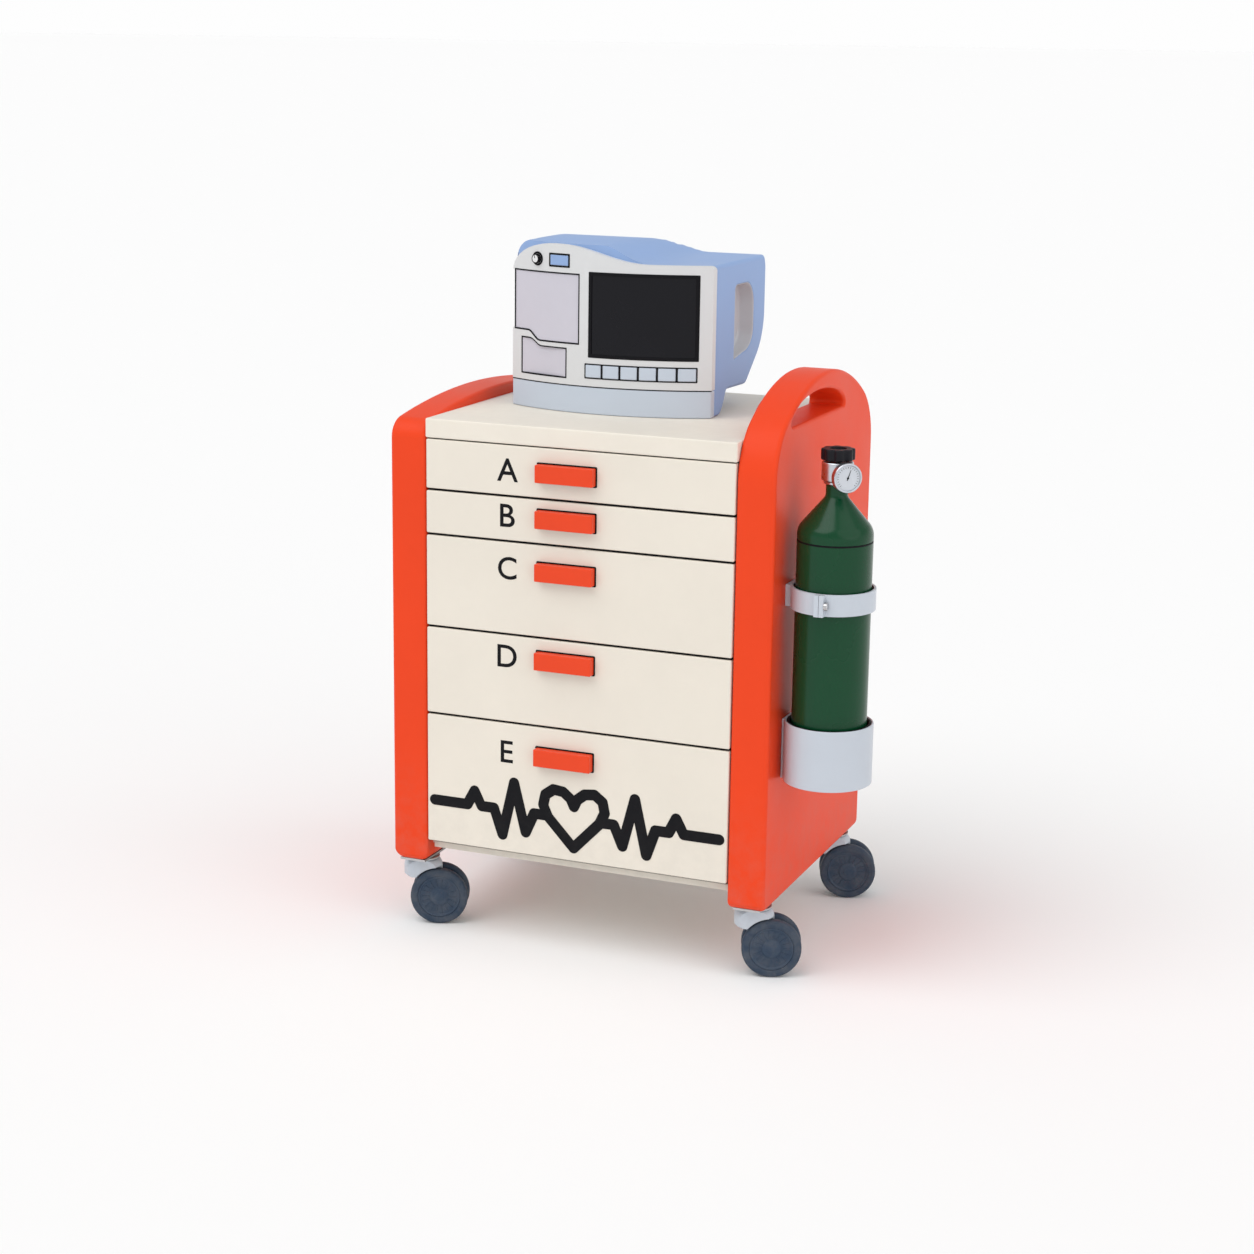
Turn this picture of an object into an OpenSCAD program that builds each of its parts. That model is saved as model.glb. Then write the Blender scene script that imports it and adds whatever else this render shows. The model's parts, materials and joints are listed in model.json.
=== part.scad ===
// Emergency cart with five drawers, a defibrillator on its worktop and an oxygen cylinder on its side.
// Millimetres. X runs to the cart's right as seen from the front, Y runs to the back, Z is up.
// Every module draws its sub-part about the cabinet's centre line, drawer-front plane and floor,
// and place() then moves it so that the origin is under the middle of the whole cart.

/* [Cabinet] */
// Clear width between the side panels, which the drawer fronts fill
clear_w = 559; // [540:1:580]
// Thickness of each moulded side panel
panel_t = 66; // [60:1:72]
// Depth of the side panels, front to back
panel_d = 531; // [520:1:560]
// Height of the side panels' bottom edge, which is the casters' mounting height
panel_z = 127; // [125:1:130]
// Height of the highest point of the right panel's arched top
arch_peak_z = 1003; // [1000:1:1015]
// Height of the worktop
top_z = 915; // [912:1:918]
// Height of the worktop's front lip
lip_h = 33; // [30:1:36]

/* [Drawers] */
// Heights of the five drawer spaces, top to bottom
drawer_h = [88, 77, 161, 155, 234];
// Distance of each pull's middle below the top of its drawer space
pull_drop = [43.5, 33, 46, 38, 52];
// Thickness of a drawer front
front_t = 18; // [14:1:20]
// Gap between neighbouring drawer fronts
front_gap = 4; // [3:0.5:5]
// Distance that a drawer front's pull stands proud
pull_out = 16; // [14:1:20]
// Width of a pull
pull_w = 104; // [90:1:120]
// Height of a pull
pull_h = 30; // [26:1:34]
// Sideways place of the pulls
pull_x = -18; // [-40:1:0]

/* [Casters] */
// Radius of a caster wheel
wheel_r = 51; // [50:1:51]
// Horizontal distance from a swivel axis to its axle
trail = 30; // [28:1:32]
// Angle that the casters are swivelled by, from trailing along X
caster_turn = 20; // [0:5:20]

/* [Defibrillator] */
// Sideways place of the defibrillator's middle
defib_x = -30; // [-40:1:-20]
// Width of the defibrillator
defib_w = 370; // [368:1:372]
// Distance from the drawer fronts to the foremost point of its bowed front
bow_y = 165; // [160:1:170]
// Depth of the bow, from its foremost point to its ends
bow_rise = 47; // [45:1:49]
// Distance from the drawer fronts to its back
defib_back_y = 480; // [475:1:485]

/* [Oxygen] */
// Radius of the oxygen cylinder
oxygen_r = 62.5; // [60:0.5:63]
// Distance from the drawer fronts to the cylinder's axis
oxygen_y = 88; // [80:1:100]
// Outer radius of the cup that holds the cylinder's foot
cup_r = 74; // [73:0.5:75]

/* [Hidden] */
$fn = 64;
fine = 180;

ORANGE = [0.94, 0.31, 0.18];
CREAM = [0.92, 0.89, 0.84];
STEEL = [0.62, 0.64, 0.66];
GREY = [0.76, 0.79, 0.83];
SLATE = [0.23, 0.29, 0.36];
GREEN = [0.01, 0.27, 0.15];
BLUE = [0.58, 0.67, 0.82];
WHITE = [0.88, 0.88, 0.88];
LILAC = [0.81, 0.80, 0.83];
PALE_BLUE = [0.78, 0.81, 0.86];
DARK = [0.09, 0.09, 0.12];

// Clearances
run_gap = 0.3;
pin_gap = 0.05;
bond = 0.05;

// Cabinet
half_w = clear_w / 2;
outer_x = half_w + panel_t;
sheet_t = 2;
carcass_y0 = 24;
carcass_y1 = 523;
carcass_z0 = 157;
slab_t = 12;
lip_t = 22;
slab_z0 = top_z - slab_t;
arch_corner_r = 110;
arch_spring_z = 850;
arch_rise = arch_peak_z - arch_spring_z;
arch_reach = panel_d / 2 - arch_corner_r;
arch_r = (pow(arch_reach, 2) + pow(arch_rise, 2) - pow(arch_corner_r, 2)) / (2 * (arch_rise - arch_corner_r));
arch_cz = arch_peak_z - arch_r;
arch_turn = atan2(arch_spring_z - arch_cz, -arch_reach);
foot_r = 12;
left_foot_r = 18;
rail_z = 935;
rail_fall = 24;
rail_y = 310;
hand_y = 218;
hand_w = 290;
hand_z = 932;
hand_h = 44;
panel_wall = 6;

// Drawers and their slides
slide_t = 13;
slide_y0 = 30;
slide_len = 470;
slide_half_h = 17.5;
slide_lift = 32;
tray_x = half_w - sheet_t - slide_t;
tray_len = 468;
tray_lift = 10;
tray_drop = 24;
tray_wall = 2;
drawers_top = top_z - lip_h;
pull_wall = 4;
pull_face_t = 3.5;

function sum_to(list, n) = n == 0 ? 0 : list[n - 1] + sum_to(list, n - 1);
function drawer_top(i) = drawers_top - sum_to(drawer_h, i);
function drawer_bottom(i) = drawers_top - sum_to(drawer_h, i + 1);

// Back panel fasteners and its accessory holes
screw_r = 2;
screw_head_r = 4.5;
screw_rows = [190, 400, 640, 860];
accessory_z = 620;
accessory_w = 240;
accessory_h = 120;
accessory_r = 3.3;

// Casters
caster_x = half_w + panel_t / 2;
caster_front_y = 50;
caster_back_y = 481;
plate_t = 4;
race_t = 4;
kingpin_r = 5;
axle_r = 5;
fork_top_z = panel_z - plate_t - race_t - 0.5;
fork_r = 34;
fork_low_z = 86;
fork_half_y = 24.5;
rib_half_y = 7;
wheel_y0 = 8;
wheel_room = 3;
hub_r = 38;
pedal_x = -41;
pedal_z = 100;
pedal_pin_r = 2.5;
pedal_barrel_r = 5;
pedal_reach = 32;
pedal_half = 15;
plate_half_w = 24;

// Defibrillator
defib_z = top_z + run_gap;
bow_half = defib_w / 2;
bow_r = (pow(bow_half, 2) + pow(bow_rise, 2)) / (2 * bow_rise);
bow_cy = bow_y + bow_r;
bow_end_y = bow_y + bow_rise;
fascia_t = 14;
skirt_top_z = 962;
fascia_z = skirt_top_z + 1;
crown_z = 1200;
shoulder_z = 1172;
corner_z = 1148;
corner_w = 90;
crown_end = 15;
slope_end = 177;
right_corner_r = 8;
case_crown_z = 1204;
case_corner_w = 45;
case_corner_h = 39;
case_wave_x0 = -45;
case_wave_x1 = 50;
left_x = defib_x - bow_half;
right_x = defib_x + bow_half;
grip_deep = 30;
screen_x0 = -49;
screen_x1 = 131;
screen_z0 = 1016;
screen_z1 = 1153;
key_x0 = -57;
key_pitch = 32;
key_w = 28;
key_h = 21;
key_z = 989;
button_x = -111;
button_w = 36;
button_h = 17;
button_z = 1173;
knob_angle = asin((-157 - defib_x) / bow_r);
knob_z = 1173;
knob_r = 8;
spindle_r = 2.5;
door_t = 5;
door_set = 1;
door_pin_r = 1.2;
door_room = 0.8;
pad_angle = -27.6;
pad_x1 = -73;
pad_z0 = 1035;
pad_z1 = 1150;
pad_step = 16;
printer_angle = -17.3;
printer_half = 49;
printer_set = 3.6;
printer_z0 = 974;
printer_z1 = 1023;
printer_step = 12;

// Oxygen cylinder and its holders
oxygen_x = outer_x + cup_r + 1;
bottle_wall = 5;
cup_z = 345;
cup_h = 103;
cup_wall = 4;
cylinder_z = cup_z + cup_wall + run_gap;
shoulder_base_z = 762;
shoulder_r = 30;
shoulder_turn = 40;
neck_base_z = 829;
pad_half = 22;
neck_z = 846;
neck_r = 18;
valve_top_z = 883;
valve_r = 26;
valve_knob_r = 28;
valve_knob_z0 = 885;
valve_knob_z1 = 904;
valve_stem_r = 5;
valve_stem_z = 891;
gauge_r = 24.5;
gauge_turn = 40;
gauge_z = 862;
band_z0 = 640;
band_z1 = 676;
band_in_r = 66;
band_out_r = 70;
band_hinge_y = 75;
band_pin_r = 2.5;
band_barrel_r = 5;

// Where the origin lies: under the middle of the whole cart, from the rear left brake pedal to the cup
pedal_tip = (pedal_reach - pedal_x) * cos(caster_turn) + pedal_half * sin(caster_turn);
mid_x = (oxygen_x + cup_r - caster_x - pedal_tip) / 2;
mid_y = (panel_d - pull_out) / 2;

module place() {
    translate([-mid_x, -mid_y, 0]) children();
}

// ---------- outlines ----------

function arc(cx, cy, rx, ry, a0, a1, n) =
    [for (i = [0:n]) let (a = a0 + (a1 - a0) * i / n) [cx + rx * cos(a), cy + ry * sin(a)]];

// A smooth step from (x0, z0) to (x1, z1), level at both ends
function step_curve(x0, z0, x1, z1, n) =
    [for (i = [0:n]) [x0 + (x1 - x0) * i / n, z0 + (z1 - z0) * (1 - cos(180 * i / n)) / 2]];

function reversed(list) = [for (i = [len(list) - 1:-1:0]) list[i]];

// Side view of the right panel, as depth and height
function panel_outline() = concat(
    arc(foot_r, panel_z + foot_r, foot_r, foot_r, 270, 180, 4),
    arc(arch_corner_r, arch_spring_z, arch_corner_r, arch_corner_r, 180, arch_turn, 8),
    arc(panel_d / 2, arch_cz, arch_r, arch_r, arch_turn, 180 - arch_turn, 20),
    arc(panel_d - arch_corner_r, arch_spring_z, arch_corner_r, arch_corner_r, 180 - arch_turn, 0, 8),
    arc(panel_d - foot_r, panel_z + foot_r, foot_r, foot_r, 0, -90, 4)
);

// Side view of the left panel, whose top is a low rail that rises a little in the middle
function rail_height(y) = rail_z - rail_fall * pow((y - rail_y) / 280, 2);
function rail_outline() = concat(
    arc(foot_r, panel_z + foot_r, foot_r, foot_r, 270, 180, 4),
    arc(40, 878, 40, 34, 180, 96, 8),
    [for (y = [60:25:460]) [y, rail_height(y)]],
    arc(panel_d - 40, 885, 40, 40, 88, 0, 8),
    arc(panel_d - foot_r, panel_z + foot_r, foot_r, foot_r, 0, -90, 4)
);

// Front view of the left panel, rounded along its foot
function foot_outline() = concat(
    arc(-panel_t / 2 + left_foot_r, panel_z + left_foot_r, left_foot_r, left_foot_r, 180, 270, 6),
    arc(panel_t / 2 - left_foot_r, panel_z + left_foot_r, left_foot_r, left_foot_r, 270, 360, 6),
    [[panel_t / 2, 1000], [-panel_t / 2, 1000]]
);

// Half-moon hand hole: flat below, arched above
function hand_outline() = concat(
    arc(hand_y, hand_z, hand_w / 2, hand_h, 172, 8, 20),
    [[hand_y + hand_w / 2 - 6, hand_z], [hand_y - hand_w / 2 + 6, hand_z]]
);

// Front view of the defibrillator: a rounded left shoulder, a crown, a wave down to a level right side
function defib_outline(z0) = concat(
    [[left_x, z0]],
    arc(left_x + corner_w, corner_z, corner_w, crown_z - corner_z, 180, 90, 10),
    step_curve(left_x + corner_w + crown_end, crown_z, left_x + corner_w + slope_end, shoulder_z, 14),
    arc(right_x - right_corner_r, shoulder_z - right_corner_r, right_corner_r, right_corner_r, 90, 0, 4),
    [[right_x, z0]]
);

// Front view of the case behind it, which stands a little higher and waves further to the right
function case_front(z0) = concat(
    [[left_x, z0]],
    arc(left_x + case_corner_w, case_crown_z - case_corner_h, case_corner_w, case_corner_h, 180, 90, 10),
    step_curve(case_wave_x0, case_crown_z, case_wave_x1, shoulder_z, 14),
    arc(right_x - right_corner_r, shoulder_z - right_corner_r, right_corner_r, right_corner_r, 90, 0, 4),
    [[right_x, z0]]
);

// Side view of the case: foot, undercut and rounded back, and a top that is highest in the middle
function case_outline() = concat(
    [[bow_y, defib_z], [273, defib_z]],
    arc(273, defib_z + 14, 14, 14, -90, 0, 4),
    [[289, 955], [388, 953]],
    arc(370, 1075, defib_back_y - 370, 104, -48, 0, 6),
    arc(440, 1148, defib_back_y - 440, 38, 0, 80, 6),
    [[420, 1194.5], [380, 1200], [330, 1203.5], [280, case_crown_z], [220, 1202], [bow_y, 1199]]
);

// Side view of a hand grip: straight in front, bowed behind
function grip_outline() = concat(
    [[321, 1004], [366, 1012]],
    arc(366, 1048, 52, 36, -90, 0, 6),
    arc(380, 1089, 38, 42, 0, 90, 6),
    [[327, 1131], [321, 1125]]
);

// ---------- shared shapes ----------

// Outline in depth and height, drawn out along X about x = 0
module across(points, width) {
    rotate([90, 0, 90]) linear_extrude(height = width, center = true) polygon(points);
}

// Outline in X and height, drawn out from depth y0 to y1
module deep(points, y0, y1) {
    translate([0, y1, 0]) rotate([90, 0, 0]) linear_extrude(height = y1 - y0) polygon(points);
}

// A block from one corner to the opposite one
module block(low, high) {
    translate(low) cube(high - low);
}

// A round bar along Y
module bar_y(x, y0, y1, z, r) {
    translate([x, y1, z]) rotate([90, 0, 0]) cylinder(r = r, h = y1 - y0);
}

// Bowed sheet between two distances behind the defibrillator's front
module bowed(outer, inner, z0, z1) {
    translate([defib_x, bow_cy, z0]) intersection() {
        difference() {
            cylinder(r = bow_r - outer, h = z1 - z0, $fn = fine);
            translate([0, 0, -1]) cylinder(r = bow_r - inner, h = z1 - z0 + 2, $fn = fine);
        }
        translate([-bow_half, -bow_r - 5, 0]) cube([defib_w, bow_r - 295, z1 - z0]);
    }
}

// Moves a shape onto the bow: its -Y looks straight out of the front at that angle and depth
module on_bow(angle, depth) {
    translate([defib_x, bow_cy, 0]) rotate([0, 0, angle]) translate([0, -bow_r + depth, 0]) children();
}

// ---------- cabinet ----------

// The sealed hollow inside a moulded panel
module panel_hollow() {
    block([-panel_t / 2 + panel_wall, panel_wall, panel_z + foot_r],
          [panel_t / 2 - panel_wall, panel_d - panel_wall, arch_spring_z]);
}

module side_panel_left() {
    color(ORANGE) place() translate([-caster_x, 0, 0]) difference() {
        intersection() {
            across(rail_outline(), panel_t);
            deep(foot_outline(), -1, panel_d + 1);
        }
        panel_hollow();
    }
}

module side_panel_right() {
    color(ORANGE) place() translate([caster_x, 0, 0]) difference() {
        across(panel_outline(), panel_t);
        across(hand_outline(), panel_t + 2);
        panel_hollow();
    }
}

module worktop() {
    color(CREAM) place() union() {
        block([-half_w, 0, slab_z0], [half_w, carcass_y1 + 4, top_z]);
        block([-half_w, 0, drawers_top], [half_w, lip_t, top_z]);
    }
}

module carcass_sides() {
    flange = 20;
    color(STEEL) place() for (side = [-1, 1]) scale([side, 1, 1]) difference() {
        union() {
            block([half_w - sheet_t, carcass_y0, carcass_z0], [half_w, carcass_y1, slab_z0]);
            block([half_w - flange, carcass_y1 - sheet_t, carcass_z0], [half_w, carcass_y1, slab_z0]);
        }
        for (z = screw_rows) bar_y(half_w - flange / 2, carcass_y1 - 5, carcass_y1 + 5, z, screw_r + 0.1);
    }
}

module back_panel() {
    color(CREAM) place() difference() {
        block([-half_w, carcass_y1, carcass_z0], [half_w, carcass_y1 + sheet_t, slab_z0]);
        for (side = [-1, 1]) {
            for (z = screw_rows) {
                bar_y(side * (half_w - 10), carcass_y1 - 1, carcass_y1 + sheet_t + 1, z, screw_r + 0.1);
            }
            for (up = [-1, 1]) {
                bar_y(side * accessory_w / 2, carcass_y1 - 1, carcass_y1 + sheet_t + 1,
                      accessory_z + up * accessory_h / 2, accessory_r);
            }
        }
    }
}

module back_panel_screws() {
    color(STEEL) place() for (side = [-1, 1], z = screw_rows) translate([side * (half_w - 10), 0, z]) {
        bar_y(0, carcass_y1 + sheet_t, carcass_y1 + sheet_t + 2.5, 0, screw_head_r);
        bar_y(0, carcass_y1 - 8, carcass_y1 + sheet_t + 1, 0, screw_r);
    }
}

module base_pan() {
    color(STEEL) place() union() {
        block([-half_w + sheet_t, carcass_y0, carcass_z0], [half_w - sheet_t, carcass_y1 - sheet_t, carcass_z0 + 3]);
        block([-half_w + sheet_t, carcass_y0, carcass_z0 - 8], [half_w - sheet_t, carcass_y0 + 3, carcass_z0 + 3]);
    }
}

// A rolled slide member: a web and two lips, drawn on the right-hand wall
module slide_member(web0, lip0, lip1, z_in, z_out, y0, y1, z) {
    wall = half_w - sheet_t;
    web_t = 1.6;
    union() {
        block([wall - web0 - web_t, y0, z - z_out], [wall - web0, y1, z + z_out]);
        for (up = [-1, 1]) scale([1, 1, up]) translate([0, 0, up * z]) {
            block([wall - lip1, y0, z_in], [wall - lip0, y1, z_out]);
        }
    }
}

module slide_outer_members() {
    color(STEEL) place() for (i = [0:4], side = [-1, 1]) scale([side, 1, 1]) {
        slide_member(0, 0, 9, 16, slide_half_h, slide_y0, slide_y0 + slide_len, drawer_bottom(i) + slide_lift);
    }
}

module slide_middle(i) {
    color(STEEL) place() for (side = [-1, 1]) scale([side, 1, 1]) {
        slide_member(4.4, 4.4, 11, 10.3, 15.7, slide_y0, slide_y0 + slide_len - 6, drawer_bottom(i) + slide_lift);
    }
}

// ---------- drawers ----------

module drawer_front(i) {
    color(CREAM) place() block([-half_w + 1.5, 0, drawer_bottom(i) + front_gap / 2],
                               [half_w - 1.5, front_t, drawer_top(i) - front_gap / 2]);
}

module drawer_tray(i) {
    low = drawer_bottom(i) + tray_lift;
    high = low + drawer_h[i] - tray_drop;
    color(WHITE) place() {
        difference() {
            block([-tray_x, front_t, low], [tray_x, front_t + tray_len, high]);
            block([-tray_x + tray_wall, front_t + tray_wall, low + tray_wall],
                  [tray_x - tray_wall, front_t + tray_len - tray_wall, high + 1]);
        }
        for (side = [-1, 1]) scale([side, 1, 1]) translate([bond, 0, 0]) {
            slide_member(slide_t - 1.6 - bond, 7.5, slide_t - bond, 8.4, 10, slide_y0, slide_y0 + slide_len - 20,
                         drawer_bottom(i) + slide_lift);
        }
    }
}

// A hood that fingers reach up into from below
module drawer_pull(i) {
    z = drawer_top(i) - pull_drop[i];
    color(ORANGE) place() translate([pull_x, 0, z]) difference() {
        block([-pull_w / 2, -pull_out, -pull_h / 2], [pull_w / 2, 0, pull_h / 2]);
        block([-pull_w / 2 + pull_wall, -pull_out + pull_face_t, -pull_h / 2 - 1],
              [pull_w / 2 - pull_wall, 1, pull_h / 2 - pull_wall]);
    }
}

// ---------- casters ----------

module caster_plates() {
    color(STEEL) place() for (x = [-caster_x, caster_x], y = [caster_front_y, caster_back_y]) translate([x, y, 0]) {
        union() {
            block([-plate_half_w, -42, panel_z - plate_t], [plate_half_w, 42, panel_z]);
            translate([0, 0, panel_z - plate_t - race_t]) cylinder(r = 24, h = race_t);
            translate([0, 0, 96]) cylinder(r = kingpin_r, h = panel_z - plate_t - 96);
        }
    }
}

// Moves a shape to a swivel axis and turns it as the caster stands
module swivelled(x, y) {
    translate([x, y, 0]) rotate([0, 0, caster_turn]) children();
}

module caster_fork(x, y, braked) {
    color(GREY) place() swivelled(x, y) difference() {
        union() {
            difference() {
                intersection() {
                    rotate_extrude() polygon(concat(
                        [[0, fork_low_z], [fork_r - 4, fork_low_z], [fork_r, fork_low_z + 4]],
                        arc(fork_r - 14, fork_top_z - 14, 14, 14, 0, 90, 6),
                        [[0, fork_top_z]]
                    ));
                    block([-50, -fork_half_y, 0], [50, fork_half_y, panel_z]);
                }
                for (side = [-1, 1]) scale([1, side, 1]) {
                    bar_y(trail, rib_half_y, fork_half_y + 5, wheel_r, wheel_r + wheel_room);
                }
            }
            deep([[-26, fork_low_z + 6], [26, fork_low_z + 12], [trail + 13, wheel_r + 4], [trail - 13, wheel_r - 4]],
                 -rib_half_y, rib_half_y);
            bar_y(trail, -rib_half_y, rib_half_y, wheel_r, 13);
            if (braked) for (side = [-1, 1]) scale([1, side, 1]) {
                block([pedal_x, 9, pedal_z - 4], [-26, 12, pedal_z + 4]);
                bar_y(pedal_x, 9, 12, pedal_z, 4);
            }
            if (braked) bar_y(pedal_x, -10, 10, pedal_z, pedal_pin_r);
        }
        translate([0, 0, 94]) cylinder(r = kingpin_r + pin_gap, h = 40);
        bar_y(trail, -20, 20, wheel_r, axle_r + pin_gap);
    }
}

module tyre() {
    width = fork_half_y - wheel_y0;
    rotate_extrude() polygon([
        [hub_r, 1], [wheel_r - 5, 0], [wheel_r - 1, 3], [wheel_r, width / 2],
        [wheel_r - 1, width - 3], [wheel_r - 5, width], [hub_r, width - 1]
    ]);
}

module hub() {
    width = fork_half_y - wheel_y0;
    rotate_extrude() polygon([
        [axle_r, 0], [16, 0], [18, 4], [30, 4], [hub_r - bond, 1], [hub_r - bond, width - 1],
        [30, width - 2], [18, width - 1], [10, width], [axle_r, width]
    ]);
}

module caster_wheel(x, y) {
    color(SLATE) place() swivelled(x, y) translate([trail, 0, wheel_r]) {
        for (side = [-1, 1]) scale([1, side, 1]) translate([0, wheel_y0, 0]) rotate([-90, 0, 0]) {
            tyre();
            hub();
        }
        bar_y(0, -fork_half_y + 1, fork_half_y - 1, 0, axle_r);
    }
}

module brake_pedal(x, y) {
    color(ORANGE) place() swivelled(x, y) translate([pedal_x, 0, pedal_z]) difference() {
        union() {
            bar_y(0, -8.7, 8.7, 0, pedal_barrel_r);
            block([-12, -8.7, -2], [0, 8.7, 4]);
            block([-pedal_reach, -pedal_half, 0], [-8, pedal_half, 4]);
        }
        bar_y(0, -12, 12, 0, pedal_pin_r + pin_gap);
    }
}

// ---------- defibrillator ----------

module defib_case() {
    color(BLUE) place() difference() {
        intersection() {
            deep(case_front(800), bow_y - 40, defib_back_y + 10);
            union() {
                translate([defib_x, 0, 0]) across(case_outline(), defib_w + 2);
                block([defib_x - 135, 270, defib_z], [defib_x + 75, 400, 975]);
            }
            translate([defib_x, bow_cy, 900]) cylinder(r = bow_r - fascia_t, h = 320, $fn = fine);
        }
        for (side = [-1, 1]) translate([defib_x + side * (bow_half - grip_deep / 2 + 1), 0, 0]) {
            across(grip_outline(), grip_deep + 2);
        }
        block([defib_x - 174, 150, 956], [defib_x + 174, 315, 1136]);
        block([defib_x - 146, 300, 960], [defib_x + 146, 388, 1128]);
    }
}

// Cuts the pad door's outline, grown by a margin, as a polygon in X and height
function pad_outline(x0, grow) = concat(
    [[x0, pad_z0 + pad_step - grow], [left_x + 37, pad_z0 + pad_step - grow]],
    step_curve(left_x + 37, pad_z0 + pad_step - grow, left_x + 64, pad_z0 - grow, 8),
    [[pad_x1 + grow, pad_z0 - grow], [pad_x1 + grow, pad_z1 + grow], [x0, pad_z1 + grow]]
);

// The printer door's outline, grown by a margin, in the door's own plane
function printer_outline(grow) = concat(
    [[-printer_half - grow, printer_z0 - grow], [printer_half + grow, printer_z0 - grow],
     [printer_half + grow, printer_z1 + grow]],
    step_curve(-4, printer_z1 + grow, -32, printer_z1 + printer_step + grow, 8),
    [[-printer_half - grow, printer_z1 + printer_step + grow]]
);

function pad_pivot() = [defib_x + (bow_r - door_set - door_t / 2) * sin(pad_angle),
                        bow_cy - (bow_r - door_set - door_t / 2) * cos(pad_angle)];

module defib_fascia() {
    pin_room = 4;
    color(WHITE) place() difference() {
        intersection() {
            bowed(0, fascia_t, fascia_z, crown_z + 5);
            deep(defib_outline(900), bow_y - 10, bow_end_y + 40);
        }
        intersection() {
            bowed(-5, 4, screen_z0, screen_z1);
            block([screen_x0, bow_y - 10, screen_z0], [screen_x1, bow_end_y + 40, screen_z1]);
        }
        for (i = [0:5]) {
            block([key_x0 + i * key_pitch - run_gap, bow_y - 10, key_z - key_h / 2 - run_gap],
                  [key_x0 + i * key_pitch + key_w + run_gap, bow_end_y + 40, key_z + key_h / 2 + run_gap]);
        }
        block([button_x - button_w / 2 - run_gap, bow_y - 10, button_z - button_h / 2 - run_gap],
              [button_x + button_w / 2 + run_gap, bow_end_y + 40, button_z + button_h / 2 + run_gap]);
        on_bow(knob_angle, 0) bar_y(0, -5, fascia_t + 5, knob_z, spindle_r + pin_gap);
        intersection() {
            bowed(-5, door_set + door_t + 1, pad_z0 - 10, pad_z1 + 10);
            deep(pad_outline(left_x - 10, door_room), bow_y - 10, bow_end_y + 40);
        }
        translate([pad_pivot()[0], pad_pivot()[1], pad_z0 + pad_step - pin_room]) {
            cylinder(r = door_pin_r + pin_gap, h = pad_z1 - pad_z0 - pad_step + 2 * pin_room);
        }
        on_bow(printer_angle, 0) {
            deep(printer_outline(door_room), -10, printer_set + door_t + 1);
            translate([-printer_half - pin_room, printer_set + door_t / 2, printer_z0 + door_t / 2]) {
                rotate([0, 90, 0]) cylinder(r = door_pin_r + pin_gap, h = 2 * (printer_half + pin_room));
            }
        }
    }
}

module defib_base() {
    color(PALE_BLUE) place() bowed(0, fascia_t, defib_z, skirt_top_z);
}

module defib_screen() {
    edge = 0.2;
    color(DARK) place() intersection() {
        bowed(1, 4, screen_z0 + edge, screen_z1 - edge);
        block([screen_x0 + edge, bow_y - 10, screen_z0], [screen_x1 - edge, bow_end_y + 40, screen_z1]);
    }
}

module defib_electronics() {
    floor_z = 956;
    color(DARK) place() translate([defib_x, 0, floor_z]) {
        block([-150, 232, 0], [-30, 312, 70]);
        block([-10, 240, 0], [150, 243, 150]);
        translate([90, 283, 0]) cylinder(r = 28, h = 110);
    }
}

module defib_pad_door() {
    pin_len = 3;
    color(LILAC) place() union() {
        intersection() {
            bowed(door_set, door_set + door_t, pad_z0 - 5, pad_z1 + 5);
            deep(pad_outline(pad_pivot()[0], 0), bow_y - 10, bow_end_y + 40);
        }
        translate([pad_pivot()[0], pad_pivot()[1], pad_z0 + pad_step]) {
            cylinder(r = door_t / 2, h = pad_z1 - pad_z0 - pad_step);
        }
        translate([pad_pivot()[0], pad_pivot()[1], pad_z0 + pad_step - pin_len]) {
            cylinder(r = door_pin_r, h = pad_z1 - pad_z0 - pad_step + 2 * pin_len);
        }
    }
}

module defib_printer_door() {
    pin_len = 3;
    color(LILAC) place() on_bow(printer_angle, printer_set) union() {
        intersection() {
            deep(printer_outline(0), 0, door_t);
            block([-100, -1, printer_z0 + door_t / 2], [100, door_t + 1, printer_z1 + 50]);
        }
        translate([-printer_half, door_t / 2, printer_z0 + door_t / 2]) {
            rotate([0, 90, 0]) cylinder(r = door_t / 2, h = 2 * printer_half);
        }
        translate([-printer_half - pin_len, door_t / 2, printer_z0 + door_t / 2]) {
            rotate([0, 90, 0]) cylinder(r = door_pin_r, h = 2 * (printer_half + pin_len));
        }
    }
}

module defib_knob() {
    color(WHITE) place() on_bow(knob_angle, 0) union() {
        bar_y(0, -7, -0.5, knob_z, knob_r);
        bar_y(0, -0.5, 10, knob_z, spindle_r);
    }
}

module defib_power_button() {
    color(BLUE) place() intersection() {
        bowed(-1.5, 9, button_z - button_h / 2, button_z + button_h / 2);
        block([button_x - button_w / 2, bow_y - 10, button_z - button_h / 2],
              [button_x + button_w / 2, bow_end_y + 40, button_z + button_h / 2]);
    }
}

module defib_key(i) {
    x = key_x0 + i * key_pitch;
    color(PALE_BLUE) place() intersection() {
        bowed(-1.5, 9, key_z - key_h / 2, key_z + key_h / 2);
        block([x, bow_y - 10, key_z - key_h / 2], [x + key_w, bow_end_y + 40, key_z + key_h / 2]);
    }
}

// ---------- oxygen ----------

module cylinder_cup() {
    color(GREY) place() difference() {
        union() {
            translate([oxygen_x, oxygen_y, cup_z]) cylinder(r = cup_r, h = cup_h);
            block([outer_x, oxygen_y - pad_half, cup_z], [outer_x + 8, oxygen_y + pad_half, cup_z + cup_h]);
        }
        translate([oxygen_x, oxygen_y, cup_z + cup_wall]) cylinder(r = cup_r - cup_wall, h = cup_h);
    }
}

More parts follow.
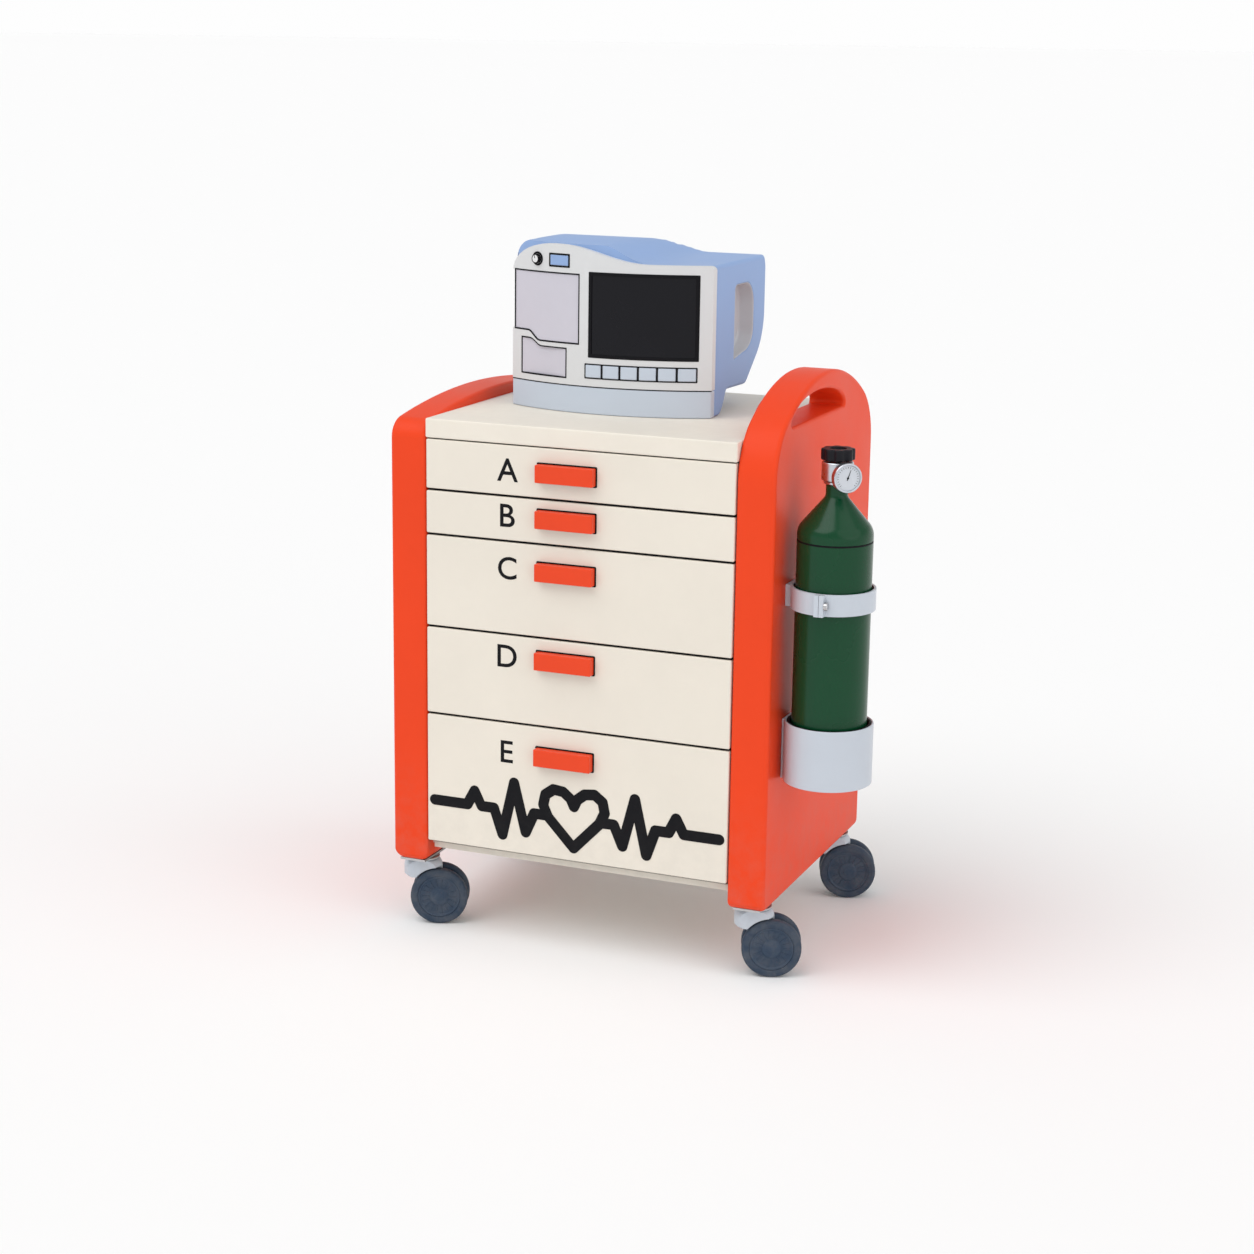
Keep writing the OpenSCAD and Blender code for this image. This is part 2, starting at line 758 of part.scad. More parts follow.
module band_saddle() {
    seg = 10;
    color(GREY) place() translate([oxygen_x, oxygen_y, 0]) difference() {
        union() {
            difference() {
                translate([0, 0, band_z0]) cylinder(r = band_out_r, h = band_z1 - band_z0);
                block([-run_gap, -100, 0], [100, 100, 900]);
            }
            block([outer_x - oxygen_x, -pad_half, band_z0], [outer_x - oxygen_x + 12, pad_half, band_z1]);
            block([-8, -band_out_r - 9, band_z0], [-run_gap, -band_out_r + 3, band_z1]);
            for (z = [band_z0, band_z1 - seg]) translate([0, 0, z]) {
                translate([0, band_hinge_y, 0]) cylinder(r = band_barrel_r, h = seg);
                block([-12, band_out_r - 4, 0], [-run_gap, band_hinge_y, seg]);
            }
            translate([0, band_hinge_y, band_z0]) cylinder(r = band_pin_r, h = band_z1 - band_z0);
        }
        translate([0, 0, 600]) cylinder(r = band_in_r, h = 100);
    }
}

module band_front() {
    seg = 10.3;
    color(GREY) place() translate([oxygen_x, oxygen_y, 0]) difference() {
        union() {
            difference() {
                translate([0, 0, band_z0]) cylinder(r = band_out_r, h = band_z1 - band_z0);
                block([-100, -100, 0], [run_gap, 100, 900]);
                block([-1, band_in_r - 6, band_z0 - 1], [6, 100, band_z0 + seg]);
                block([-1, band_in_r - 6, band_z1 - seg], [6, 100, band_z1 + 1]);
            }
            block([run_gap, -band_out_r - 9, band_z0], [8, -band_out_r + 3, band_z1]);
            translate([0, band_hinge_y, band_z0 + seg]) {
                cylinder(r = band_barrel_r, h = band_z1 - band_z0 - 2 * seg);
                block([run_gap, -9, 0], [5, 0, band_z1 - band_z0 - 2 * seg]);
            }
        }
        translate([0, 0, 600]) cylinder(r = band_in_r, h = 100);
        translate([0, band_hinge_y, 600]) cylinder(r = band_pin_r + pin_gap, h = 100);
    }
}

module oxygen_cylinder() {
    seam_z = 753;
    color(GREEN) place() translate([oxygen_x, oxygen_y, 0]) difference() {
        rotate_extrude() polygon(concat(
            [[0, cylinder_z], [oxygen_r - 12, cylinder_z]],
            arc(oxygen_r - 10, cylinder_z + 12, 10, 12, -60, 0, 4),
            [[oxygen_r, seam_z - 2], [oxygen_r - 1, seam_z - 1], [oxygen_r - 1, seam_z + 1], [oxygen_r, seam_z + 2]],
            arc(oxygen_r - shoulder_r, shoulder_base_z, shoulder_r, shoulder_r, 0, shoulder_turn, 5),
            [[neck_r + 2, neck_base_z - 5.4], [neck_r + 0.5, neck_base_z - 3], [neck_r, neck_base_z],
             [neck_r, neck_z], [0, neck_z]]
        ));
        translate([0, 0, cylinder_z + 16]) cylinder(r = oxygen_r - bottle_wall, h = shoulder_base_z - cylinder_z - 16);
    }
}

module oxygen_regulator() {
    color(GREY) place() translate([oxygen_x, oxygen_y, 0]) {
        union() {
            translate([0, 0, neck_z + bond]) cylinder(r = valve_r - 4, h = 6);
            translate([0, 0, neck_z + 6]) cylinder(r = valve_r, h = valve_top_z - neck_z - 6);
            translate([0, 0, neck_z + 6]) cylinder(r = valve_stem_r, h = valve_stem_z - neck_z - 6);
            bar_y(0, 0, 44, gauge_z, 7);
            bar_y(0, 44, 52, gauge_z, 4);
            rotate([0, 0, gauge_turn]) bar_y(0, -30, 0, gauge_z, 6);
        }
        rotate([0, 0, gauge_turn]) bar_y(0, -46, -30 - bond, gauge_z, gauge_r);
    }
}

module oxygen_valve_knob() {
    color(DARK) place() translate([oxygen_x, oxygen_y, 0]) difference() {
        translate([0, 0, valve_knob_z0]) cylinder(r = valve_knob_r, h = valve_knob_z1 - valve_knob_z0);
        for (a = [0:45:315]) rotate([0, 0, a]) translate([valve_knob_r + 4, 0, valve_knob_z0 - 1]) {
            cylinder(r = 6, h = valve_knob_z1 - valve_knob_z0 + 2);
        }
        translate([0, 0, valve_knob_z1 - 5]) cylinder(r = 14, h = 6);
        translate([0, 0, valve_knob_z0 - 1]) cylinder(r = valve_stem_r + pin_gap, h = valve_stem_z - valve_knob_z0 + 2);
    }
}

side_panel_left();
side_panel_right();
worktop();
carcass_sides();
back_panel();
base_pan();
slide_outer_members();
back_panel_screws();
caster_plates();
cylinder_cup();
band_saddle();
drawer_front(0);  // drawer_front_a
drawer_front(1);  // drawer_front_b
drawer_front(2);  // drawer_front_c
drawer_front(3);  // drawer_front_d
drawer_front(4);  // drawer_front_e
drawer_tray(0);  // drawer_tray_a
drawer_tray(1);  // drawer_tray_b
drawer_tray(2);  // drawer_tray_c
drawer_tray(3);  // drawer_tray_d
drawer_tray(4);  // drawer_tray_e
drawer_pull(0);  // drawer_pull_a
drawer_pull(1);  // drawer_pull_b
drawer_pull(2);  // drawer_pull_c
drawer_pull(3);  // drawer_pull_d
drawer_pull(4);  // drawer_pull_e
slide_middle(0);  // slide_middle_a
slide_middle(1);  // slide_middle_b
slide_middle(2);  // slide_middle_c
slide_middle(3);  // slide_middle_d
slide_middle(4);  // slide_middle_e
caster_fork(-caster_x, caster_front_y, false);  // caster_fork_fl
caster_fork(caster_x, caster_front_y, false);  // caster_fork_fr
caster_fork(-caster_x, caster_back_y, true);  // caster_fork_rl
caster_fork(caster_x, caster_back_y, true);  // caster_fork_rr
caster_wheel(-caster_x, caster_front_y);  // caster_wheel_fl
caster_wheel(caster_x, caster_front_y);  // caster_wheel_fr
caster_wheel(-caster_x, caster_back_y);  // caster_wheel_rl
caster_wheel(caster_x, caster_back_y);  // caster_wheel_rr
brake_pedal(-caster_x, caster_back_y);  // brake_pedal_rl
brake_pedal(caster_x, caster_back_y);  // brake_pedal_rr
defib_case();
defib_fascia();
defib_base();
defib_screen();
defib_electronics();
defib_pad_door();
defib_printer_door();
defib_knob();
defib_power_button();
defib_key(0);  // defib_key_1
defib_key(1);  // defib_key_2
defib_key(2);  // defib_key_3
defib_key(3);  // defib_key_4
defib_key(4);  // defib_key_5
defib_key(5);  // defib_key_6
oxygen_cylinder();
oxygen_regulator();
oxygen_valve_knob();
band_front();
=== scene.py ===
"""The finished look of a hospital emergency cart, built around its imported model.

It is laid out as an add-on: settings first, then helpers, materials, one operator for each
group of pieces, and a sidebar panel. Lengths are metres in the frame's own axes."""

import json
import math

import bmesh
import bpy
from bpy.props import FloatProperty, FloatVectorProperty, IntProperty, PointerProperty
from mathutils import Matrix, Vector, geometry


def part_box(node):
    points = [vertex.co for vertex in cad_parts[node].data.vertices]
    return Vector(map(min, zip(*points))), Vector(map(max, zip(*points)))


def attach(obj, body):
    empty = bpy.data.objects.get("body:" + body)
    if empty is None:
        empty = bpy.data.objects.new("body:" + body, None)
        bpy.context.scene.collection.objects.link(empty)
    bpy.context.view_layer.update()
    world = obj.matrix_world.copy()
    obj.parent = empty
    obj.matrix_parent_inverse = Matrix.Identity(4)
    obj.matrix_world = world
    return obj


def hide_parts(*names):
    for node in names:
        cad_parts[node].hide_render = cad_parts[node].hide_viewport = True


bl_info = {
    "name": "Emergency Cart",
    "version": (1, 0, 0),
    "blender": (4, 5, 0),
    "location": "3D Viewport > Sidebar > Emergency Cart",
    "description": "Builds the surfaces, details and finishes of an emergency cart on its frame",
    "category": "Object",
}

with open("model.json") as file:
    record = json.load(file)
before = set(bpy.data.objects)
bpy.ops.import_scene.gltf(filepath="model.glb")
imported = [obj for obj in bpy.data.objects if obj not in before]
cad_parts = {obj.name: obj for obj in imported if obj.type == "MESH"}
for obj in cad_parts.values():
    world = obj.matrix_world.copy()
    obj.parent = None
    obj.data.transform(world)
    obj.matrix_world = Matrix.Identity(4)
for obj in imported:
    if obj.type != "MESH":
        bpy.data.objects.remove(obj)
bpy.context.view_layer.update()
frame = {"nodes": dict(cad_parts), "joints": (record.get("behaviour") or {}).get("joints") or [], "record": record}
NODES = frame["nodes"]
BODY_OF = {n: b for b, names in frame["record"]["behaviour"]["bodies"].items() for n in names}
SLOT_OF = {part["node"]: part["material_slot"] for part in frame["record"]["subparts"]}
JOINTS = {joint["name"]: joint for joint in frame["joints"]}

MM = 0.001
DRAWERS = "abcde"
CASTERS = ("fl", "fr", "rl", "rr")
TAU = 2 * math.pi


# ---------- settings ----------


def length(name, description, default):
    return FloatProperty(name=name, description=description, default=default, min=0, unit="LENGTH")


def tint(name, description, default):
    return FloatVectorProperty(
        name=name, description=description, default=default, size=3, min=0, max=1, subtype="COLOR"
    )


class CabinetLook(bpy.types.PropertyGroup):
    """Colours and edges of the cabinet and its drawers"""

    orange: tint("Orange", "Moulded side panels", (0.83, 0.060, 0.013))
    pull_orange: tint("Pull orange", "Drawer pulls", (0.80, 0.062, 0.016))
    cream: tint("Cream", "Drawer fronts and painted sheet", (0.80, 0.745, 0.655))
    top_cream: tint("Worktop cream", "Moulded worktop", (0.82, 0.765, 0.675))
    panel_edge: length("Panel edge", "Radius of the side panels' outer edges", 0.007)
    hand_edge: length("Hand hole edge", "Radius of the hand holes' edges", 0.006)
    front_edge: length("Front edge", "Radius of the drawer fronts' edges", 0.0025)
    letter_height: length("Letter height", "Height of the index letters", 0.039)
    letter_gap: length("Letter gap", "From a pull's middle to its letter's middle", 0.108)
    mark_depth: length("Mark depth", "Thickness of the printed marks", 0.0005)
    trace_stroke: length("Trace stroke", "Width of the heartbeat mark", 0.019)


class DefibLook(bpy.types.PropertyGroup):
    """Colours and sizes of the defibrillator"""

    blue: tint("Blue", "Case", (0.285, 0.420, 0.700))
    white: tint("White", "Bowed front", (0.68, 0.69, 0.70))
    pale_blue: tint("Pale blue", "Base and keys", (0.545, 0.610, 0.700))
    lilac: tint("Lilac", "Doors", (0.595, 0.580, 0.650))
    side_edge: length("Side edge", "Radius of the case's side edges", 0.007)
    bezel: length("Bezel", "Width of the dark frames round screen, keys and doors", 0.0032)
    crown: length("Crown", "Height of the case's crown over the worktop", 0.289)
    shoulder: length("Shoulder", "Height of the level right side over the worktop", 0.257)


class GasLook(bpy.types.PropertyGroup):
    """Colours and sizes of the oxygen set"""

    green: tint("Green", "Cylinder enamel", (0.0012, 0.052, 0.018))
    grey: tint("Grey", "Cup, band and caster housings", (0.545, 0.590, 0.655))
    slate: tint("Slate", "Caster wheels", (0.032, 0.052, 0.086))
    black: tint("Black", "Valve knob", (0.008, 0.008, 0.012))
    dial_ticks: IntProperty(name="Dial ticks", description="Marks on the gauge", default=21, min=4, max=60)


class StageLook(bpy.types.PropertyGroup):
    """Floor, lights and camera"""

    floor: tint("Floor", "Pale studio floor", (0.94, 0.94, 0.94))
    key: FloatProperty(
        name="Key light", description="Strength of the sun ahead on the left", default=1.25, min=0
    )
    fill: FloatProperty(
        name="Fill light", description="Strength of the sun on the right", default=0.75, min=0
    )
    sky: FloatProperty(name="Sky", description="Brightness of the surround overhead", default=0.55, min=0)
    horizon: FloatProperty(
        name="Horizon", description="Brightness of the surround at the horizon", default=0.99, min=0
    )
    azimuth: FloatProperty(name="Azimuth", default=math.radians(22.1), subtype="ANGLE",
                           description="The camera's turn round the cart from straight ahead")
    elevation: FloatProperty(name="Elevation", default=math.radians(13.63), subtype="ANGLE",
                             description="The camera's height above the level")
    roll: FloatProperty(name="Roll", default=math.radians(0.82), subtype="ANGLE",
                        description="The camera's tilt about its own line of sight")
    distance: length("Distance", "From the camera to the point it looks at", 4.063)
    lens: FloatProperty(name="Lens", description="Focal length in millimetres", default=70.33, min=10)


def look(name):
    return getattr(bpy.context.scene, name)


# ---------- mesh helpers ----------


def low(node):
    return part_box(node)[0]


def high(node):
    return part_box(node)[1]


def middle(node):
    return (low(node) + high(node)) / 2


def spot(x, y, z):
    """A place in millimetres from the cabinet's middle, the panels' front edge and the floor"""
    return Vector((middle("worktop").x + x * MM, low("side_panel_right").y + y * MM, z * MM))


def curve_points(cx, cy, rx, ry, start, end, steps):
    """Points on an ellipse's arc; the angles are in degrees."""
    made = []
    for i in range(steps + 1):
        a = math.radians(start + (end - start) * i / steps)
        made.append((cx + rx * math.cos(a), cy + ry * math.sin(a)))
    return made


def rounded(points, radius, steps=4, closed=True):
    """An outline whose corners are rounded by a smooth bend that starts radius away from each."""
    made = []
    count = len(points)
    for i, point in enumerate(points):
        here = Vector(point)
        if not closed and i in (0, count - 1):
            made.append(tuple(here))
            continue
        before, after = Vector(points[i - 1]), Vector(points[(i + 1) % count])
        reach_a = min(radius, (before - here).length * 0.48)
        reach_b = min(radius, (after - here).length * 0.48)
        a = here + (before - here).normalized() * reach_a
        b = here + (after - here).normalized() * reach_b
        for k in range(steps + 1):
            t = k / steps
            made.append(tuple(a * (1 - t) ** 2 + here * 2 * t * (1 - t) + b * t * t))
    return made


def inset(loop, distance):
    """A closed anticlockwise outline moved inwards; a negative distance moves it outwards."""
    made = []
    count = len(loop)
    for i in range(count):
        here = Vector(loop[i])
        a = (here - Vector(loop[i - 1])).normalized()
        b = (Vector(loop[(i + 1) % count]) - here).normalized()
        side = Vector((-a.y, a.x))
        normal = side + Vector((-b.y, b.x))
        normal = normal.normalized() if normal.length > 1e-6 else side
        made.append(tuple(here + normal * distance / max(0.6, normal.dot(side))))
    return made


def in_mm(*points):
    """An outline or a profile that is given in millimetres"""
    return [(a * MM, b * MM) for a, b in points]


class Shell:
    """Collects rings of points, the strips between them and the caps that close them."""

    def __init__(self):
        self.points = []
        self.faces = []

    def ring(self, points):
        start = len(self.points)
        self.points.extend(tuple(p) for p in points)
        return list(range(start, len(self.points)))

    def join(self, a, b):
        count = len(a)
        for i in range(count):
            self.faces.append((a[i], a[(i + 1) % count], b[(i + 1) % count], b[i]))

    def tube(self, rings, wrap=False):
        made = [self.ring(points) for points in rings]
        pairs = list(zip(made, made[1:])) + ([(made[-1], made[0])] if wrap else [])
        for a, b in pairs:
            self.join(a, b)
        return made

    def cap(self, outer, holes=()):
        loops = [outer, *holes]
        flat = [i for loop in loops for i in loop]
        corners = [[Vector(self.points[i]) for i in loop] for loop in loops]
        self.faces.extend(tuple(flat[k] for k in tri) for tri in geometry.tessellate_polygon(corners))

    def piece(self, name, material, sharp=40):
        mesh = bpy.data.meshes.new(name)
        mesh.from_pydata(self.points, [], self.faces)
        shape = bmesh.new()
        shape.from_mesh(mesh)
        bmesh.ops.remove_doubles(shape, verts=shape.verts, dist=1e-6)
        bmesh.ops.recalc_face_normals(shape, faces=shape.faces)
        shape.to_mesh(mesh)
        shape.free()
        return dress(name, mesh, material, sharp)


def dress(name, mesh, material, sharp=40):
    """Makes an object of a mesh, with its material, smooth faces and crisp corners."""
    mesh.materials.clear()
    mesh.materials.append(material)
    mesh.shade_smooth()
    mesh.set_sharp_from_angle(angle=math.radians(sharp))
    obj = bpy.data.objects.new(name, mesh)
    bpy.context.scene.collection.objects.link(obj)
    weighted = obj.modifiers.new("Face weighted normals", "WEIGHTED_NORMAL")
    weighted.keep_sharp = True
    weighted.weight = 80
    return obj


def fit(obj, body, slot, *nodes):
    """Puts a finished piece on its body and hides the nodes that it stands for; the slot it is given is not used.
    """
    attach(obj, body)
    if nodes:
        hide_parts(*nodes)
    return obj


def outer_part(shape):
    """Deletes every separate surface but the one that reaches furthest, such as a sealed hollow's."""
    left = set(shape.verts)
    parts = []
    while left:
        stack = [left.pop()]
        found = set(stack)
        while stack:
            for edge in stack.pop().link_edges:
                for vert in edge.verts:
                    if vert in left:
                        left.discard(vert)
                        found.add(vert)
                        stack.append(vert)
        parts.append(found)
    widest = max(parts, key=lambda part: max(v.co.z for v in part) - min(v.co.z for v in part))
    inner = [v for part in parts if part is not widest for v in part]
    bmesh.ops.delete(shape, geom=inner, context="VERTS")


def clean_copy(node, outer_only=False):
    """A merged copy of a node's mesh, with its flat faces whole."""
    shape = bmesh.new()
    shape.from_mesh(NODES[node].data)
    bmesh.ops.remove_doubles(shape, verts=shape.verts, dist=2e-6)
    if outer_only:
        outer_part(shape)
    flat = math.radians(0.4)
    bmesh.ops.dissolve_limit(shape, angle_limit=flat, verts=shape.verts, edges=shape.edges)
    return shape


def soften(node, radius, segments=3, limit=32, slot=None, name=None):
    """Stands for a node with a copy of it whose sharp edges are rounded."""
    shape = clean_copy(node)
    sharp = [e for e in shape.edges if len(e.link_faces) == 2 and e.calc_face_angle() > math.radians(limit)]
    bmesh.ops.bevel(
        shape, geom=sharp, offset=radius, offset_type="OFFSET", segments=segments,
        profile=0.5, affect="EDGES", clamp_overlap=True,
    )
    mesh = bpy.data.meshes.new(node + "_soft")
    shape.to_mesh(mesh)
    shape.free()
    slot = slot or SLOT_OF[node]
    obj = dress(name or node + "_body", mesh, finish(slot), 50)
    return fit(obj, BODY_OF[node], slot, node)


def face_loops(node, axis, at):
    """The closed outlines of a node's flat face where the axis has that value, longest first."""
    shape = clean_copy(node, outer_only=True)
    near = 1e-5
    faces = {f for f in shape.faces if all(abs(v.co[axis] - at) < near for v in f.verts)}
    return edge_loops(shape, faces, [i for i in range(3) if i != axis])


def front_loop(node):
    """The outline, in X and Z, of a node's front face, which may be bowed."""
    shape = clean_copy(node)
    widest = max((f for f in shape.faces if f.normal.y < -0.3), key=lambda f: f.calc_area())
    faces, reached = {widest}, [widest]
    smooth = math.radians(6)
    while reached:
        for edge in reached.pop().edges:
            if len(edge.link_faces) == 2 and edge.calc_face_angle() < smooth:
                for face in set(edge.link_faces) - faces:
                    faces.add(face)
                    reached.append(face)
    return edge_loops(shape, faces, (0, 2))[0]


def edge_loops(shape, faces, others):
    """The outlines round a set of faces, in two of the axes, longest first; it uses up the shape."""
    follow = {}
    for face in faces:
        for loop in face.loops:
            if sum(f in faces for f in loop.edge.link_faces) == 1:
                follow.setdefault(loop.vert.index, loop.link_loop_next.vert.index)
    shape.verts.ensure_lookup_table()
    loops = []
    while follow:
        start, here = follow.popitem()
        walk = [start]
        while here != start:
            walk.append(here)
            here = follow.pop(here)
        loops.append([tuple(shape.verts[i].co[k] for k in others) for i in walk])
    shape.free()
    made = [loop if signed_area(loop) > 0 else loop[::-1] for loop in loops]
    return sorted(made, key=lambda loop: -abs(signed_area(loop)))


def signed_area(loop):
    return sum(a[0] * b[1] - b[0] * a[1] for a, b in zip(loop, loop[1:] + loop[:1])) / 2


def lathe(name, profile, centre, material, axis=(0, 0, 1), segments=64, sharp=40):
    """Turns a profile of (radius, height) points about an axis through a centre."""
    turn = Vector((0, 0, 1)).rotation_difference(Vector(axis)).to_matrix().to_4x4()
    place = Matrix.Translation(centre) @ turn
    shell = Shell()
    rings = []
    for radius, height in profile:
        ring = []
        for i in range(segments):
            a = TAU * i / segments
            ring.append(place @ Vector((radius * math.cos(a), radius * math.sin(a), height)))
        rings.append(ring)
    closed = profile[0][0] > 1e-6 and profile[0] == profile[-1]
    made = shell.tube(rings[:-1] if closed else rings, wrap=closed)
    if not closed:
        for ring in (made[0], made[-1]):
            if (Vector(shell.points[ring[0]]) - Vector(shell.points[ring[1]])).length > 1e-6:
                shell.cap(ring)
    return shell.piece(name, material, sharp)


def plate(name, outline, place, thickness, material, edge=0.0, holes=(), sharp=40, steps=3):
    """A flat plate of an outline, rounded along both faces' edges and set in place by a matrix."""
    shell = Shell()
    stations = []
    for k in range(steps + 1):
        a = math.pi / 2 * k / steps
        stations.append((edge * (1 - math.sin(a)), edge * (1 - math.cos(a))))
    if edge < 1e-7:
        stations = [(0.0, 0.0)]
    stations += [(into, thickness - up) for into, up in reversed(stations)]

    def rings(loop, sign):
        made = []
        for into, up in stations:
            moved = inset(loop, sign * into) if into > 1e-9 else loop
            made.append([place @ Vector((x, y, up)) for x, y in moved])
        return made

    outer = shell.tube(rings(outline, 1))
    inner = [shell.tube(rings(hole, -1)) for hole in holes]
    shell.cap(outer[0], [h[0] for h in inner])
    shell.cap(outer[-1], [h[-1] for h in inner])
    return shell.piece(name, material, sharp)


def axes(origin, right, up):
    """A matrix whose X is right, Y is up and Z is their outward normal, at an origin."""
    x, y = Vector(right).normalized(), Vector(up).normalized()
    matrix = Matrix((x, y, x.cross(y))).transposed().to_4x4()
    matrix.translation = Vector(origin)
    return matrix


def joined(name, objects):
    """Joins finished pieces of one material into one."""
    shape = bmesh.new()
    for obj in objects:
        shape.from_mesh(obj.data)
    mesh = bpy.data.meshes.new(name)
    shape.to_mesh(mesh)
    shape.free()
    material = objects[0].data.materials[0]
    for obj in objects:
        bpy.data.objects.remove(obj)
    return dress(name, mesh, material)


# ---------- geometry node trees ----------


def node_tree(name, inputs):
    tree = bpy.data.node_groups.new(name, "GeometryNodeTree")
    for label, kind in inputs:
        tree.interface.new_socket(label, in_out="INPUT", socket_type=kind)
    tree.interface.new_socket("Geometry", in_out="OUTPUT", socket_type="NodeSocketGeometry")
    return tree, tree.nodes.new("NodeGroupInput"), tree.nodes.new("NodeGroupOutput")


def close_tree(tree, entry, result, instances):
    real = add(tree, "GeometryNodeRealizeInstances", {"Geometry": instances})
    painted = add(
        tree, "GeometryNodeSetMaterial", {"Geometry": real.outputs[0],
        "Material": entry.outputs["Material"]}
    )
    tree.links.new(painted.outputs[0], result.inputs[0])
    return tree


def ring_tree():
    """Repeats a part round a circle or an arc of one, each copy turned to face outwards."""
    tree, entry, result = node_tree("Parts Round A Circle", (
        ("Part", "NodeSocketObject"), ("Count", "NodeSocketInt"), ("Radius", "NodeSocketFloat"),
        ("Start", "NodeSocketFloat"), ("Sweep", "NodeSocketFloat"), ("Material", "NodeSocketMaterial")))
    line = add(tree, "GeometryNodeMeshLine", {"Count": entry.outputs["Count"]})
    index = add(tree, "GeometryNodeInputIndex")
    share = add(
        tree, "ShaderNodeMath", {0: index.outputs[0], 1: entry.outputs["Count"]}, operation="DIVIDE"
    )
    turn = add(
        tree, "ShaderNodeMath", {0: share.outputs[0], 1: entry.outputs["Sweep"],
        2: entry.outputs["Start"]}, operation="MULTIPLY_ADD"
    )
    spin = add(tree, "ShaderNodeCombineXYZ", {"Z": turn.outputs[0]})
    reach = add(tree, "ShaderNodeCombineXYZ", {"X": entry.outputs["Radius"]})
    rim = add(tree, "ShaderNodeVectorRotate", {"Vector": reach.outputs[0], "Rotation": spin.outputs[0]},
              rotation_type="EULER_XYZ")
    moved = add(tree, "GeometryNodeSetPosition", {"Geometry": line.outputs[0], "Position": rim.outputs[0]})
    part = add(tree, "GeometryNodeObjectInfo", {"Object": entry.outputs["Part"]})
    copies = add(tree, "GeometryNodeInstanceOnPoints", {
        "Points": moved.outputs[0], "Instance": part.outputs["Geometry"], "Rotation": spin.outputs[0]})
    return close_tree(tree, entry, result, copies.outputs[0])


def row_tree():
    """Repeats a part along a straight line."""
    tree, entry, result = node_tree("Parts Along A Line", (
        ("Part", "NodeSocketObject"), ("Count", "NodeSocketInt"), ("Step", "NodeSocketVector"),
        ("Material", "NodeSocketMaterial")))
    line = add(
        tree, "GeometryNodeMeshLine", {"Count": entry.outputs["Count"], "Offset": entry.outputs["Step"]}
    )
    part = add(tree, "GeometryNodeObjectInfo", {"Object": entry.outputs["Part"]})
    copies = add(tree, "GeometryNodeInstanceOnPoints", {
        "Points": line.outputs[0], "Instance": part.outputs["Geometry"]})
    return close_tree(tree, entry, result, copies.outputs[0])


def repeat(name, tree, part, place, sharp=40, **values):
    """Runs a tree of repeated parts, makes its result a plain mesh and sets it in place by a matrix."""
    holder = bpy.data.objects.new(name + "_source", bpy.data.meshes.new(name))
    bpy.context.scene.collection.objects.link(holder)
    modifier = holder.modifiers.new("Repeat", "NODES")
    modifier.node_group = tree
    material = part.data.materials[0]
    given = {"Part": part, "Material": material, **values}
    for item in tree.interface.items_tree:
        if item.in_out == "INPUT" and item.name in given:
            modifier[item.identifier] = given[item.name]
    bpy.context.view_layer.update()
    evaluated = holder.evaluated_get(bpy.context.evaluated_depsgraph_get())
    mesh = bpy.data.meshes.new_from_object(evaluated)
    mesh.name = name
    mesh.transform(place)
    bpy.data.objects.remove(holder)
    bpy.data.objects.remove(part)
    return dress(name, mesh, material, sharp)


# ---------- shader helpers ----------


def add(tree, kind, inputs=None, **settings):
    """Adds a node; an input is given a value or linked to a socket."""
    node = tree.nodes.new(kind)
    for name, value in settings.items():
        setattr(node, name, value)
    for name, value in (inputs or {}).items():
        if isinstance(value, bpy.types.NodeSocket):
            tree.links.new(value, node.inputs[name])
        else:
            node.inputs[name].default_value = value
    return node


def shader_group(name, inputs, outputs):
    group = bpy.data.node_groups.new(name, "ShaderNodeTree")
    for label, kind, value in inputs:
        socket = group.interface.new_socket(label, in_out="INPUT", socket_type=kind)
        if value is not None:
            socket.default_value = value
    for label in outputs:
        group.interface.new_socket(label, in_out="OUTPUT", socket_type="NodeSocketFloat")
    return group, group.nodes.new("NodeGroupInput"), group.nodes.new("NodeGroupOutput")


def math_node(tree, operation, a, b, clamp=False):
    return add(tree, "ShaderNodeMath", {0: a, 1: b}, operation=operation, use_clamp=clamp).outputs[0]


def grain_group():
    """Fine moulded or sprayed texture, and slow mottling of the colour."""
    group, entry, result = shader_group(
        "Surface Grain", (("Vector", "NodeSocketVector", None), ("Size", "NodeSocketFloat", 0.001),
        ("Patch", "NodeSocketFloat", 0.1)), ("Height", "Mottle")
    )
    vector = entry.outputs["Vector"]
    fine = math_node(group, "DIVIDE", 1.0, entry.outputs["Size"])
    broad = math_node(group, "DIVIDE", 1.0, entry.outputs["Patch"])
    noise = add(
        group, "ShaderNodeTexNoise", {"Vector": vector, "Scale": fine, "Detail": 2.0, "Roughness": 0.6}
    )
    cells = add(group, "ShaderNodeTexVoronoi", {"Vector": vector, "Scale": fine}, feature="SMOOTH_F1")
    height = math_node(group, "MULTIPLY_ADD", noise.outputs["Fac"], 0.6)
    group.links.new(cells.outputs["Distance"], height.node.inputs[2])
    slow = add(
        group, "ShaderNodeTexNoise", {"Vector": vector, "Scale": broad, "Detail": 4.0, "Roughness": 0.55}
    )
    spread = add(
        group, "ShaderNodeMapRange", {"Value": slow.outputs["Fac"], "From Min": 0.3, "From Max": 0.7}
    )
    group.links.new(height, result.inputs["Height"])
    group.links.new(spread.outputs[0], result.inputs["Mottle"])
    return group


